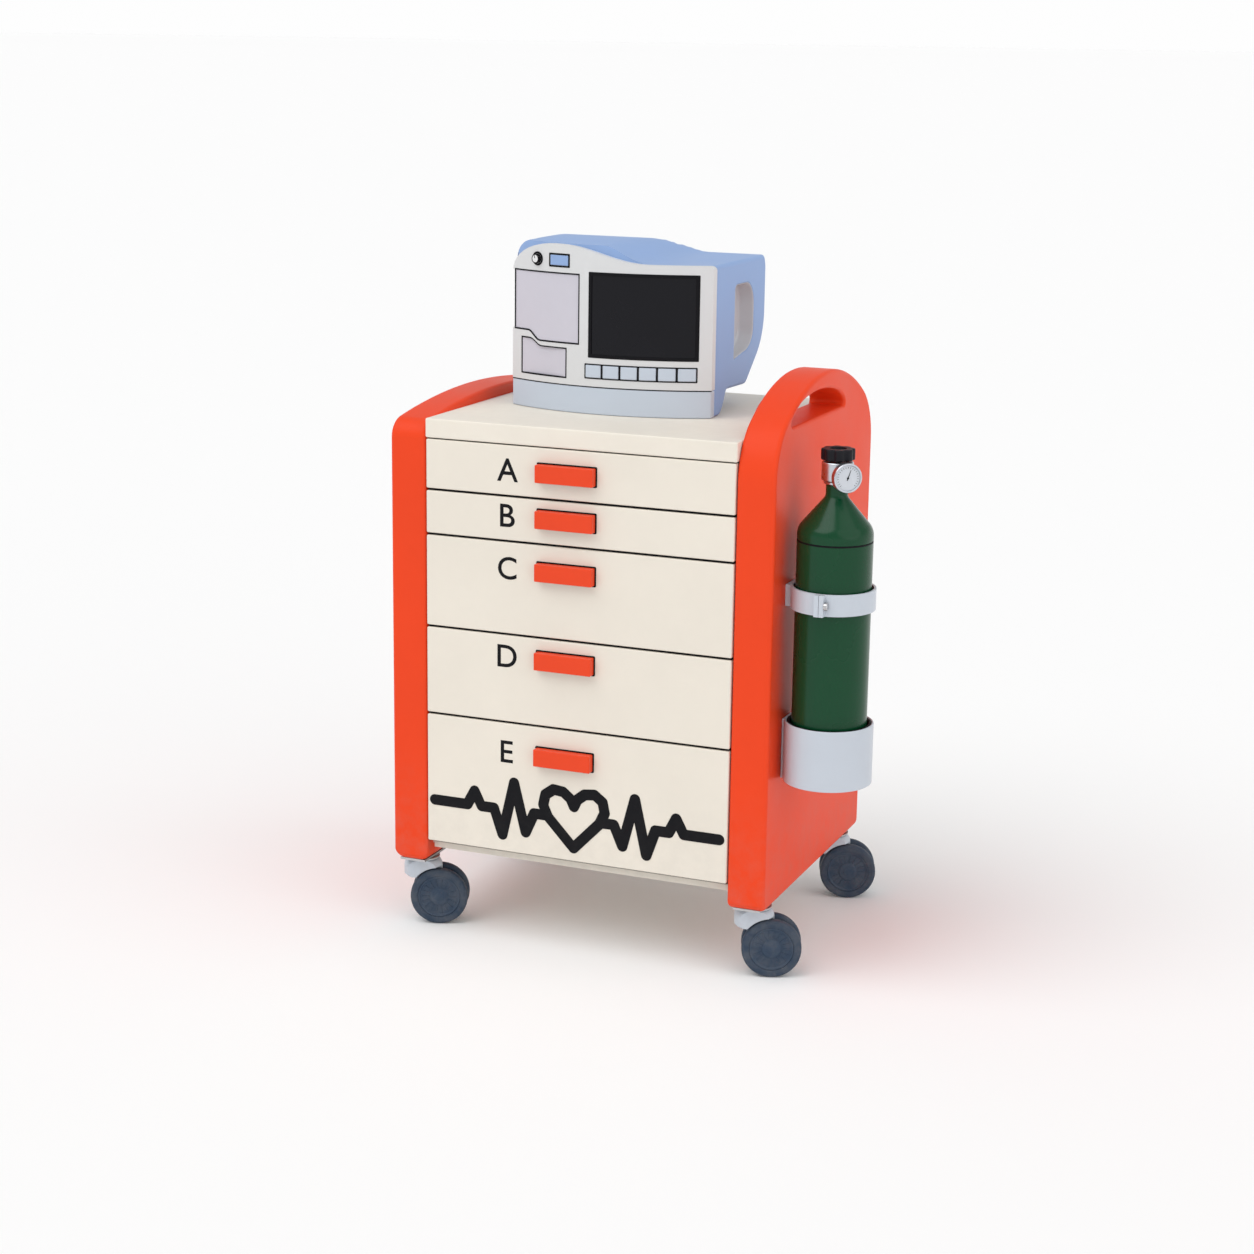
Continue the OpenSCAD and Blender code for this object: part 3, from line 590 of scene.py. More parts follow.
def wear_group():
    """Rubbed corners: raised edges broken up by noise."""
    group, entry, result = shader_group(
        "Rubbed Edges",
        (("Vector", "NodeSocketVector", None), ("Amount", "NodeSocketFloat", 0.3)),
        ("Mask",),
    )
    shape = add(group, "ShaderNodeNewGeometry")
    edge = add(
        group, "ShaderNodeMapRange", {"Value": shape.outputs["Pointiness"], "From Min": 0.52,
        "From Max": 0.62}
    )
    noise = add(
        group, "ShaderNodeTexNoise", {"Vector": entry.outputs["Vector"], "Scale": 60.0, "Detail": 5.0}
    )
    patch = add(
        group, "ShaderNodeMapRange", {"Value": noise.outputs["Fac"], "From Min": 0.42, "From Max": 0.68}
    )
    both = math_node(group, "MULTIPLY", edge.outputs[0], patch.outputs[0])
    mask = math_node(group, "MULTIPLY", both, entry.outputs["Amount"], clamp=True)
    group.links.new(mask, result.inputs["Mask"])
    return group


def dust_group():
    """Dust on faces that look up, and scuffs low down near the floor."""
    group, entry, result = shader_group(
        "Dust And Scuffs", (("Vector", "NodeSocketVector", None), ("Dust", "NodeSocketFloat", 0.1),
        ("Scuff", "NodeSocketFloat", 0.2)), ("Mask",)
    )
    vector = entry.outputs["Vector"]
    shape = add(group, "ShaderNodeNewGeometry")
    normal = add(group, "ShaderNodeSeparateXYZ", {0: shape.outputs["Normal"]})
    up = add(group, "ShaderNodeMapRange", {"Value": normal.outputs["Z"], "From Min": 0.6, "From Max": 1.0})
    noise = add(
        group, "ShaderNodeTexNoise", {"Vector": vector, "Scale": 35.0, "Detail": 6.0, "Roughness": 0.65}
    )
    broken = add(
        group, "ShaderNodeMapRange", {"Value": noise.outputs["Fac"], "From Min": 0.4, "From Max": 0.75}
    )
    settled = math_node(group, "MULTIPLY", up.outputs[0], entry.outputs["Dust"])
    place = add(group, "ShaderNodeSeparateXYZ", {0: vector})
    floor = add(
        group, "ShaderNodeMapRange", {"Value": place.outputs["Z"], "From Min": 0.34, "From Max": 0.0}
    )
    rubbed = math_node(group, "MULTIPLY", floor.outputs[0], entry.outputs["Scuff"])
    total = math_node(group, "ADD", settled, rubbed)
    mask = math_node(group, "MULTIPLY", total, broken.outputs[0], clamp=True)
    group.links.new(mask, result.inputs["Mask"])
    return group


def brushed_group():
    """Fine lines drawn along the Y axis, as on rolled or brushed metal."""
    group, entry, result = shader_group(
        "Drawn Lines",
        (("Vector", "NodeSocketVector", None), ("Pitch", "NodeSocketFloat", 0.0008)),
        ("Height", "Streak"),
    )
    squeeze = add(
        group, "ShaderNodeVectorMath", {0: entry.outputs["Vector"], 1: (1.0, 0.03, 1.0)},
        operation="MULTIPLY"
    )
    fine = math_node(group, "DIVIDE", 1.0, entry.outputs["Pitch"])
    lines = add(group, "ShaderNodeTexNoise", {"Vector": squeeze.outputs[0], "Scale": fine, "Detail": 3.0})
    wide = add(group, "ShaderNodeTexNoise", {"Vector": squeeze.outputs[0], "Scale": 90.0, "Detail": 4.0})
    group.links.new(lines.outputs["Fac"], result.inputs["Height"])
    group.links.new(wide.outputs["Fac"], result.inputs["Streak"])
    return group


GROUP_MAKERS = {"grain": grain_group, "wear": wear_group, "dust": dust_group, "brushed": brushed_group}
made_groups = {}
made_materials = {}


def use_group(tree, kind, inputs):
    if kind not in made_groups:
        made_groups[kind] = GROUP_MAKERS[kind]()
    node = tree.nodes.new("ShaderNodeGroup")
    node.node_tree = made_groups[kind]
    for name, value in inputs.items():
        if isinstance(value, bpy.types.NodeSocket):
            tree.links.new(value, node.inputs[name])
        else:
            node.inputs[name].default_value = value
    return node


def mix_colour(tree, factor, a, b):
    node = tree.nodes.new("ShaderNodeMix")
    node.data_type = "RGBA"
    for index, value in ((0, factor), (6, a), (7, b)):
        if isinstance(value, bpy.types.NodeSocket):
            tree.links.new(value, node.inputs[index])
        else:
            node.inputs[index].default_value = value
    return node.outputs[2]


def shade(colour, factor):
    return (*[min(1.0, c * factor) for c in colour], 1.0)


def coated(name, colour, rough=0.45, grain=0.0012, depth=0.00008, mottle=0.06, wear=0.25, dust=0.08,
           scuff=0.25, coat=0.0, spread=0.10, wear_shade=1.35, gleam=0.35):
    """Moulded plastic or sprayed paint, mottled, rubbed at its edges and a little dusty."""
    material = bpy.data.materials.new(name)
    material.use_nodes = True
    tree = material.node_tree
    shader = tree.nodes["Principled BSDF"]
    where = add(tree, "ShaderNodeTexCoord").outputs["Object"]
    texture = use_group(tree, "grain", {"Vector": where, "Size": grain, "Patch": 0.16})
    rubbed = use_group(tree, "wear", {"Vector": where, "Amount": wear})
    soiled = use_group(tree, "dust", {"Vector": where, "Dust": dust, "Scuff": scuff})
    base = mix_colour(
        tree, texture.outputs["Mottle"], shade(colour, 1 - mottle), shade(colour, 1 + mottle / 2)
    )
    base = mix_colour(tree, rubbed.outputs["Mask"], base, shade(colour, wear_shade))
    base = mix_colour(tree, soiled.outputs["Mask"], base, (0.33, 0.31, 0.28, 1.0))
    tree.links.new(base, shader.inputs["Base Color"])
    gloss = add(tree, "ShaderNodeMapRange", {
        "Value": texture.outputs["Mottle"], "To Min": rough - spread / 2, "To Max": rough + spread / 2})
    dull = math_node(tree, "MULTIPLY_ADD", soiled.outputs["Mask"], 0.25)
    tree.links.new(gloss.outputs[0], dull.node.inputs[2])
    tree.links.new(dull, shader.inputs["Roughness"])
    bump = add(
        tree, "ShaderNodeBump", {"Height": texture.outputs["Height"], "Strength": 1.0, "Distance": depth}
    )
    tree.links.new(bump.outputs[0], shader.inputs["Normal"])
    shader.inputs["Specular IOR Level"].default_value = gleam
    shader.inputs["Coat Weight"].default_value = coat
    shader.inputs["Coat Roughness"].default_value = 0.12
    return material


def metal(name, colour, rough=0.32, pitch=0.0008, depth=0.00003, spread=0.16, dust=0.05):
    """Bare drawn, turned or plated metal."""
    material = bpy.data.materials.new(name)
    material.use_nodes = True
    tree = material.node_tree
    shader = tree.nodes["Principled BSDF"]
    where = add(tree, "ShaderNodeTexCoord").outputs["Object"]
    drawn = use_group(tree, "brushed", {"Vector": where, "Pitch": pitch})
    soiled = use_group(tree, "dust", {"Vector": where, "Dust": dust, "Scuff": 0.2})
    base = mix_colour(tree, drawn.outputs["Streak"], shade(colour, 0.86), shade(colour, 1.08))
    base = mix_colour(tree, soiled.outputs["Mask"], base, (0.30, 0.28, 0.26, 1.0))
    tree.links.new(base, shader.inputs["Base Color"])
    gloss = add(tree, "ShaderNodeMapRange", {
        "Value": drawn.outputs["Streak"], "To Min": rough - spread / 2, "To Max": rough + spread / 2})
    tree.links.new(gloss.outputs[0], shader.inputs["Roughness"])
    bump = add(
        tree, "ShaderNodeBump", {"Height": drawn.outputs["Height"], "Strength": 1.0, "Distance": depth}
    )
    tree.links.new(bump.outputs[0], shader.inputs["Normal"])
    shader.inputs["Metallic"].default_value = 1.0
    return material


def screen_glass(name):
    """Dark display glass with faint smears"""
    material = coated(name, (0.0045, 0.0045, 0.0075), rough=0.12, grain=0.004, depth=0.000004, mottle=0.2,
                      wear=0.0, dust=0.01, scuff=0.0, coat=0.2, spread=0.06, gleam=0.1)
    material.node_tree.nodes["Principled BSDF"].inputs["Coat Roughness"].default_value = 0.04
    return material


def material_makers():
    cabinet, defib, gas = look("cart_cabinet"), look("cart_defib"), look("cart_gas")
    black = (0.006, 0.006, 0.008)
    return {
        "panel_orange": lambda n: coated(
            n, cabinet.orange, rough=0.42, grain=0.0013, depth=0.00008, mottle=0.03, wear=0.12,
            dust=0.03, wear_shade=1.15, gleam=0.15,
        ),
        "pull_orange": lambda n: coated(
            n, cabinet.pull_orange, rough=0.34, grain=0.0010, depth=0.00004, mottle=0.03, wear=0.25,
            dust=0.03, wear_shade=1.2, gleam=0.2,
        ),
        "cabinet_cream": lambda n: coated(
            n, cabinet.cream, rough=0.42, grain=0.0024, depth=0.00006, mottle=0.03, dust=0.04, coat=0.1,
            wear_shade=1.1, gleam=0.25,
        ),
        "worktop_cream": lambda n: coated(
            n, cabinet.top_cream, rough=0.46, grain=0.0011, depth=0.00010, mottle=0.04, dust=0.05,
            gleam=0.2,
        ),
        "slide_steel": lambda n: metal(n, (0.56, 0.57, 0.58), rough=0.34),
        "tray_white": lambda n: coated(n, (0.70, 0.70, 0.68), rough=0.42, mottle=0.04, dust=0.10),
        "screw_steel": lambda n: metal(n, (0.60, 0.60, 0.61), rough=0.24),
        "caster_grey": lambda n: coated(
            n, gas.grey, rough=0.42, mottle=0.05, wear=0.3, dust=0.05, scuff=0.3, wear_shade=1.2,
        ),
        "hub_slate": lambda n: coated(
            n, shade(gas.slate, 1.12)[:3], rough=0.48, mottle=0.05, wear=0.2, dust=0.03, scuff=0.2,
            gleam=0.2,
        ),
        "wheel_slate": lambda n: coated(
            n, gas.slate, rough=0.55, grain=0.0016, depth=0.00008, mottle=0.06, wear=0.1, dust=0.03,
            scuff=0.25, gleam=0.2,
        ),
        "pedal_grey": lambda n: coated(n, shade(gas.grey, 0.6)[:3], rough=0.5, wear=0.6, scuff=0.4),
        "holder_grey": lambda n: coated(
            n, gas.grey, rough=0.38, grain=0.0022, depth=0.00006, mottle=0.04, coat=0.1, wear=0.3,
            dust=0.04, wear_shade=1.2,
        ),
        "oxygen_green": lambda n: coated(
            n, gas.green, rough=0.28, grain=0.003, depth=0.00006, mottle=0.06, coat=0.15, wear=0.2,
            dust=0.02, scuff=0.1, wear_shade=1.8, gleam=0.2,
        ),
        "regulator_metal": lambda n: metal(n, (0.60, 0.63, 0.68), rough=0.30, pitch=0.0006, dust=0.02),
        "valve_black": lambda n: coated(
            n, gas.black, rough=0.42, mottle=0.15, wear=0.2, dust=0.02, wear_shade=2.0, gleam=0.2,
        ),
        "defib_blue": lambda n: coated(
            n, defib.blue, rough=0.46, grain=0.0010, depth=0.00008, mottle=0.03, wear=0.12, dust=0.03,
            wear_shade=1.12, gleam=0.2,
        ),
        "defib_white": lambda n: coated(
            n, defib.white, rough=0.44, grain=0.0010, depth=0.00007, mottle=0.03, dust=0.03,
            wear_shade=1.1, gleam=0.25,
        ),
        "defib_pale_blue": lambda n: coated(
            n, defib.pale_blue, rough=0.42, mottle=0.03, dust=0.03, wear_shade=1.1,
        ),
        "defib_lilac": lambda n: coated(
            n, defib.lilac, rough=0.38, mottle=0.03, dust=0.03, wear_shade=1.1,
        ),
        "screen_dark": screen_glass,
        "electronics_dark": lambda n: coated(n, (0.02, 0.035, 0.03), rough=0.5),
        "knob_light": lambda n: coated(n, shade(defib.white, 1.1)[:3], rough=0.32, mottle=0.03),
        # black rubber for real seals, linings and pads; also painted shade in the drawer gap strips and the back's
        # vent bars
        "seal_and_shade_black": lambda n: coated(
            n, black, rough=0.6, mottle=0.1, wear=0.05, dust=0.01, scuff=0.05, wear_shade=1.5,
            gleam=0.12,
        ),
        "print_black": lambda n: coated(
            n, black, rough=0.45, mottle=0.1, wear=0.0, dust=0.01, scuff=0.05, gleam=0.12,
        ),
        "grip_grey": lambda n: coated(
            n, (0.60, 0.61, 0.64), rough=0.5, grain=0.0014, depth=0.0002, mottle=0.04, dust=0.03,
        ),
        "dial_white": lambda n: coated(
            n, (0.60, 0.63, 0.68), rough=0.3, mottle=0.03, wear=0.0, dust=0.01, coat=0.4,
        ),
    }


def finish(name):
    """The material of that name, made when it is first asked for."""
    if name not in made_materials:
        made_materials[name] = material_makers()[name](name)
    return made_materials[name]


# ---------- cabinet ----------


class CART_OT_side_panels(bpy.types.Operator):
    """Moulded side panels with rounded rims and hand holes"""

    bl_idname = "cart.side_panels"
    bl_label = "Side Panels"

    def execute(self, context):
        self.right(look("cart_cabinet"))
        self.left(look("cart_cabinet"))
        return {"FINISHED"}

    def sections(self, edge, thickness, extra=()):
        """Pairs of inset and height that round both rims of a panel"""
        rim = [
            (edge * (1 - math.sin(a)), edge * (1 - math.cos(a))) for a in (math.pi / 10 * k
            for k in range(6))
        ]
        rim += [(0.0, up) for up in extra]
        return rim + [(into, thickness - up) for into, up in reversed(rim)]

    def right(self, settings):
        """The tall arched panel, with its hand hole"""
        node = "side_panel_right"
        near, far = low(node), high(node)
        outline, hand = face_loops(node, 0, far.x)[:2]
        hand = rounded(hand, 0.004, 3)
        place = axes((near.x, 0, 0), (0, 1, 0), (0, 0, 1))
        shell = Shell()

        def rings(loop, edge, sign):
            return [[place @ Vector((y, z, up)) for y, z in inset(loop, sign * into)]
                    for into, up in self.sections(edge, far.x - near.x)]

        outer = shell.tube(rings(outline, settings.panel_edge, 1))
        inner = shell.tube(rings(hand, settings.hand_edge, -1))
        shell.cap(outer[0], [inner[0]])
        shell.cap(outer[-1], [inner[-1]])
        fit(shell.piece(node + "_body", finish(SLOT_OF[node]), 45), BODY_OF[node], SLOT_OF[node], node)

    def left(self, settings):
        """The low panel, with a wider rounding along its foot"""
        node = "side_panel_left"
        near, far = low(node), high(node)
        foot, corner = 18 * MM, 12 * MM
        outline = [point for point in face_loops(node, 0, far.x)[0] if point[1] > near.z + foot + 1 * MM]
        last = min(range(len(outline)), key=lambda i: (outline[i][0] > near.y + 1 * MM, outline[i][1]))
        outline = outline[last + 1:] + outline[:last + 1]
        outline += curve_points(near.y + corner, near.z + corner, corner, corner, 180, 270, 5)
        outline += curve_points(far.y - corner, near.z + corner, corner, corner, 270, 360, 5)
        thickness = far.x - near.x
        place = axes((near.x, 0, 0), (0, 1, 0), (0, 0, 1))
        reach = foot + corner
        shell = Shell()
        rings = []
        for into, up in self.sections(settings.panel_edge, thickness, [k * MM for k in (9.5, 12, 15, 18)]):
            side = min(up, thickness - up, foot)
            rise = foot - math.sqrt(foot * foot - (foot - side) ** 2)
            loop = []
            for y, z in inset(outline, into):
                above = z - near.z
                if above < reach:
                    z = near.z + rise + (above - into) * (reach - rise) / (reach - into)
                loop.append(place @ Vector((y, z, up)))
            rings.append(loop)
        made = shell.tube(rings)
        shell.cap(made[0])
        shell.cap(made[-1])
        fit(shell.piece(node + "_body", finish(SLOT_OF[node]), 45), BODY_OF[node], SLOT_OF[node], node)


class CART_OT_cabinet(bpy.types.Operator):
    """Worktop, carcass, back panel and base"""

    bl_idname = "cart.cabinet"
    bl_label = "Cabinet"

    def execute(self, context):
        soften("worktop", 3 * MM, 4)
        soften("carcass_sides", 0.4 * MM, 1)
        soften("back_panel", 0.5 * MM, 2)
        soften("base_pan", 0.8 * MM, 2)
        soften("caster_plates", 0.8 * MM, 2)
        return {"FINISHED"}


class CART_OT_drawers(bpy.types.Operator):
    """Drawer fronts, black gap strips of painted shade, pulls, trays and slides"""

    bl_idname = "cart.drawers"
    bl_label = "Drawers"

    def execute(self, context):
        settings = look("cart_cabinet")
        for letter in DRAWERS:
            front, pull, tray = (
                part + letter for part in ("drawer_front_", "drawer_pull_", "drawer_tray_")
            )
            soften(front, settings.front_edge, 4)
            soften(pull, 1.6 * MM, 3)
            soften(tray, 0.6 * MM, 2)
            soften("slide_middle_" + letter, 0.35 * MM, 1)
            # painted shade: black strips set back in the gaps above and below each front
            self.seal(letter, front)
            self.surround(letter, pull)
            self.balls(letter)
        soften("slide_outer_members", 0.35 * MM, 1)
        return {"FINISHED"}

    def seal(self, letter, front):
        """Black strips set back along the top and bottom edges of the front: painted shade that darkens the gaps
        between the fronts
        """
        near, far = low(front), high(front)
        strips = []
        for at, up in ((far.z, 1), (near.z, -1)):
            outline = rounded([(near.y + 5 * MM, 0), (far.y - 3 * MM, 0), (far.y - 3 * MM, 1.7 * MM),
                               (near.y + 5 * MM, 1.7 * MM)], 0.6 * MM, 3)
            place = axes((near.x + 2 * MM, 0, at), (0, 1, 0), (0, 0, up))
            if up < 0:
                place = place @ Matrix.Translation((0, 0, -(far.x - near.x - 4 * MM)))
            strips.append(
                plate("strip", outline, place, far.x - near.x - 4 * MM, finish("seal_and_shade_black"), 0.2 * MM)
            )
        fit(joined("drawer_seal_" + letter, strips), BODY_OF[front], "valve_black")

    def surround(self, letter, pull):
        """A thin black frame on the front behind each pull"""
        near, far = low(pull), high(pull)
        rim = 2.4 * MM
        outline = rounded([(near.x - rim, near.z - rim), (far.x + rim, near.z - rim),
                           (far.x + rim, far.z + rim), (near.x - rim, far.z + rim)], 2.5 * MM, 4)
        hole = rounded([(near.x + 5 * MM, near.z + 2 * MM), (far.x - 5 * MM, near.z + 2 * MM),
                        (far.x - 5 * MM, far.z - 5 * MM), (near.x + 5 * MM, far.z - 5 * MM)], 1.5 * MM, 4)
        place = axes((0, far.y + 0.05 * MM, 0), (1, 0, 0), (0, 0, 1))
        obj = plate(
            "pull_surround_" + letter, outline, place, 1.3 * MM, finish("seal_and_shade_black"), 0.4 * MM, [hole]
        )
        fit(obj, BODY_OF[pull], "valve_black")

    def balls(self, letter):
        """Steel balls that show along the lips of the middle slide member"""
        node = "slide_middle_" + letter
        near, far = low(node), high(node)
        radius = 1.5 * MM
        step = 9 * MM
        count = int((far.y - near.y - 12 * MM) / step)
        rows = []
        lip = 7 * MM
        for x, z in ((a, b) for a in (near.x + lip, far.x - lip) for b in (near.z, far.z)):
            ball = lathe(
                "ball", [(radius * math.sin(math.pi * k / 6), -radius * math.cos(math.pi * k / 6))
                for k in range(7)], (0, 0, 0), finish("slide_steel"), segments=10, sharp=60
            )
            inside = z + math.copysign(3 * MM, middle(node).z - z)
            side = x - math.copysign(0.9 * MM, x - middle(node).x)
            place = Matrix.Translation((side, near.y + 6 * MM, inside))
            rows.append(repeat("balls", trees["row"], ball, place, Count=count, Step=(0, step, 0)))
        fit(joined("slide_balls_" + letter, rows), BODY_OF[node], "slide_steel")


class CART_OT_marks(bpy.types.Operator):
    """Index letters and the heartbeat mark on the drawer fronts"""

    bl_idname = "cart.marks"
    bl_label = "Drawer Marks"

    def execute(self, context):
        settings = look("cart_cabinet")
        for letter in DRAWERS:
            self.index_letter(letter, settings)
        self.heartbeat(settings)
        return {"FINISHED"}

    def index_letter(self, letter, settings):
        pull, front = "drawer_pull_" + letter, "drawer_front_" + letter
        text = bpy.data.curves.new("letter", "FONT")
        text.body = letter.upper()
        text.extrude = 0.5
        text.resolution_u = 6
        text.offset = 0.008
        holder = bpy.data.objects.new("letter", text)
        bpy.context.scene.collection.objects.link(holder)
        bpy.context.view_layer.update()
        mesh = bpy.data.meshes.new_from_object(holder.evaluated_get(bpy.context.evaluated_depsgraph_get()))
        bpy.data.objects.remove(holder)
        xs, ys = [v.co.x for v in mesh.vertices], [v.co.y for v in mesh.vertices]
        size = settings.letter_height / (max(ys) - min(ys))
        centre = Matrix.Translation((-(max(xs) + min(xs)) / 2, -(max(ys) + min(ys)) / 2, 0))
        scale = Matrix.Diagonal((size, size, settings.mark_depth, 1))
        at = (middle(pull).x - settings.letter_gap, low(front).y, middle(pull).z)
        mesh.transform(axes(at, (1, 0, 0), (0, 0, 1)) @ scale @ centre)
        shape = bmesh.new()
        shape.from_mesh(mesh)
        bmesh.ops.remove_doubles(shape, verts=shape.verts, dist=1e-6)
        bmesh.ops.recalc_face_normals(shape, faces=shape.faces)
        shape.to_mesh(mesh)
        shape.free()
        fit(dress("index_letter_" + letter, mesh, finish("print_black")), BODY_OF[front], "valve_black")

    def heartbeat(self, settings):
        """A bold heart with a pulse line on both sides of it, across the lowest front"""
        front = "drawer_front_e"
        near, far = low(front), high(front)
        centre = middle(front).x
        base = near.z + 70 * MM
        half = (far.x - near.x) / 2 - 14 * MM
        stroke = settings.trace_stroke
        # the left half of the heart and one side's beats, in millimetres from the heart's middle
        heart = [(0, -46), (-48, 4), (-57, 24), (-53, 43), (-38, 54), (-20, 52), (-6, 41), (0, 28)]
        heart += [(-x, z) for x, z in reversed(heart[1:-1])] + [(0, -46)]
        beats = [(-52, 6), (-74, 6), (-90, -30), (-112, 56), (-134, -40), (-150, 6), (-174, 6), (-187, 32),
                 (-201, 6)]
        lines = [[(centre + x * MM, base + z * MM) for x, z in heart]]
        for side in (-1, 1):
            line = [(centre - side * x * MM, base + z * MM) for x, z in beats]
            lines.append(line + [(centre + side * half, base + 6 * MM)])
        mesh = self.strokes(lines, stroke, settings.mark_depth)
        mesh.transform(axes((0, near.y, 0), (1, 0, 0), (0, 0, 1)))
        fit(dress("heartbeat_mark", mesh, finish("print_black")), BODY_OF[front], "valve_black")

    def strokes(self, lines, width, depth):
        """One flat mark made of every stroke, with round bends and ends"""
        points, loops = [], []
        for line in lines:
            for a, b in zip(line, line[1:]):
                a, b = Vector(a), Vector(b)
                turn = math.atan2(b.y - a.y, b.x - a.x)
                start = len(points)
                for end, first in ((b, -90), (a, 90)):
                    for k in range(13):
                        angle = turn + math.radians(first + 15 * k)
                        points.append(end + Vector((math.cos(angle), math.sin(angle))) * width / 2)
                loops.append(list(range(start, len(points))))
        flat = geometry.delaunay_2d_cdt(points, [], loops, 0, 1e-7)
        shape = bmesh.new()
        verts = [shape.verts.new((p.x, p.y, 0)) for p in flat[0]]
        for face, source in zip(flat[2], flat[5]):
            if source:
                shape.faces.new([verts[i] for i in face])
        bmesh.ops.delete(shape, geom=[v for v in shape.verts if not v.link_faces], context="VERTS")
        bmesh.ops.dissolve_limit(shape, angle_limit=math.radians(0.5), verts=shape.verts, edges=shape.edges)
        raised = bmesh.ops.extrude_face_region(shape, geom=shape.faces[:])["geom"]
        bmesh.ops.translate(
            shape, verts=[v for v in raised if isinstance(v, bmesh.types.BMVert)], vec=(0, 0, depth)
        )
        bmesh.ops.recalc_face_normals(shape, faces=shape.faces)
        mesh = bpy.data.meshes.new("strokes")
        shape.to_mesh(mesh)
        shape.free()
        return mesh


class CART_OT_fasteners(bpy.types.Operator):
    """Cross-head screws on the back panel"""

    bl_idname = "cart.fasteners"
    bl_label = "Back Panel Screws"

    def execute(self, context):
        node = "back_panel_screws"
        shape = clean_copy(node)
        at = high(node).y
        spots = {}
        for face in shape.faces:
            if abs(face.calc_center_median().y - at) < 1e-4:
                centre = face.calc_center_median()
                spots[(round(centre.x, 3), round(centre.z, 3))] = centre
        shape.free()
        heads = []
        for x, z in sorted(spots):
            heads += self.screw((x, at - 2.5 * MM, z))
        fit(joined("back_screws", heads), BODY_OF[node], SLOT_OF[node], node)
        return {"FINISHED"}

    def screw(self, at):
        material = finish("screw_steel")
        dome = in_mm((0, 0), (4.5, 0), (4.5, 0.8), (3.6, 1.9), (2.0, 2.4), (0, 2.45))
        head = lathe("head", dome, at, material, (0, 1, 0), 28)
        made = [head]
        for turn in (0, 90):
            bar = rounded(in_mm((-2.6, -0.45), (2.6, -0.45), (2.6, 0.45), (-2.6, 0.45)), 0.3 * MM, 2)
            place = axes((at[0], at[1] + 1.2 * MM, at[2]), (-1, 0, 0), (0, 0, 1))
            made.append(
                plate("blade", bar, place @ Matrix.Rotation(math.radians(turn + 20), 4, "Z"), 1.28 * MM,
                material, 0.1 * MM)
            )
        return made


# ---------- casters ----------


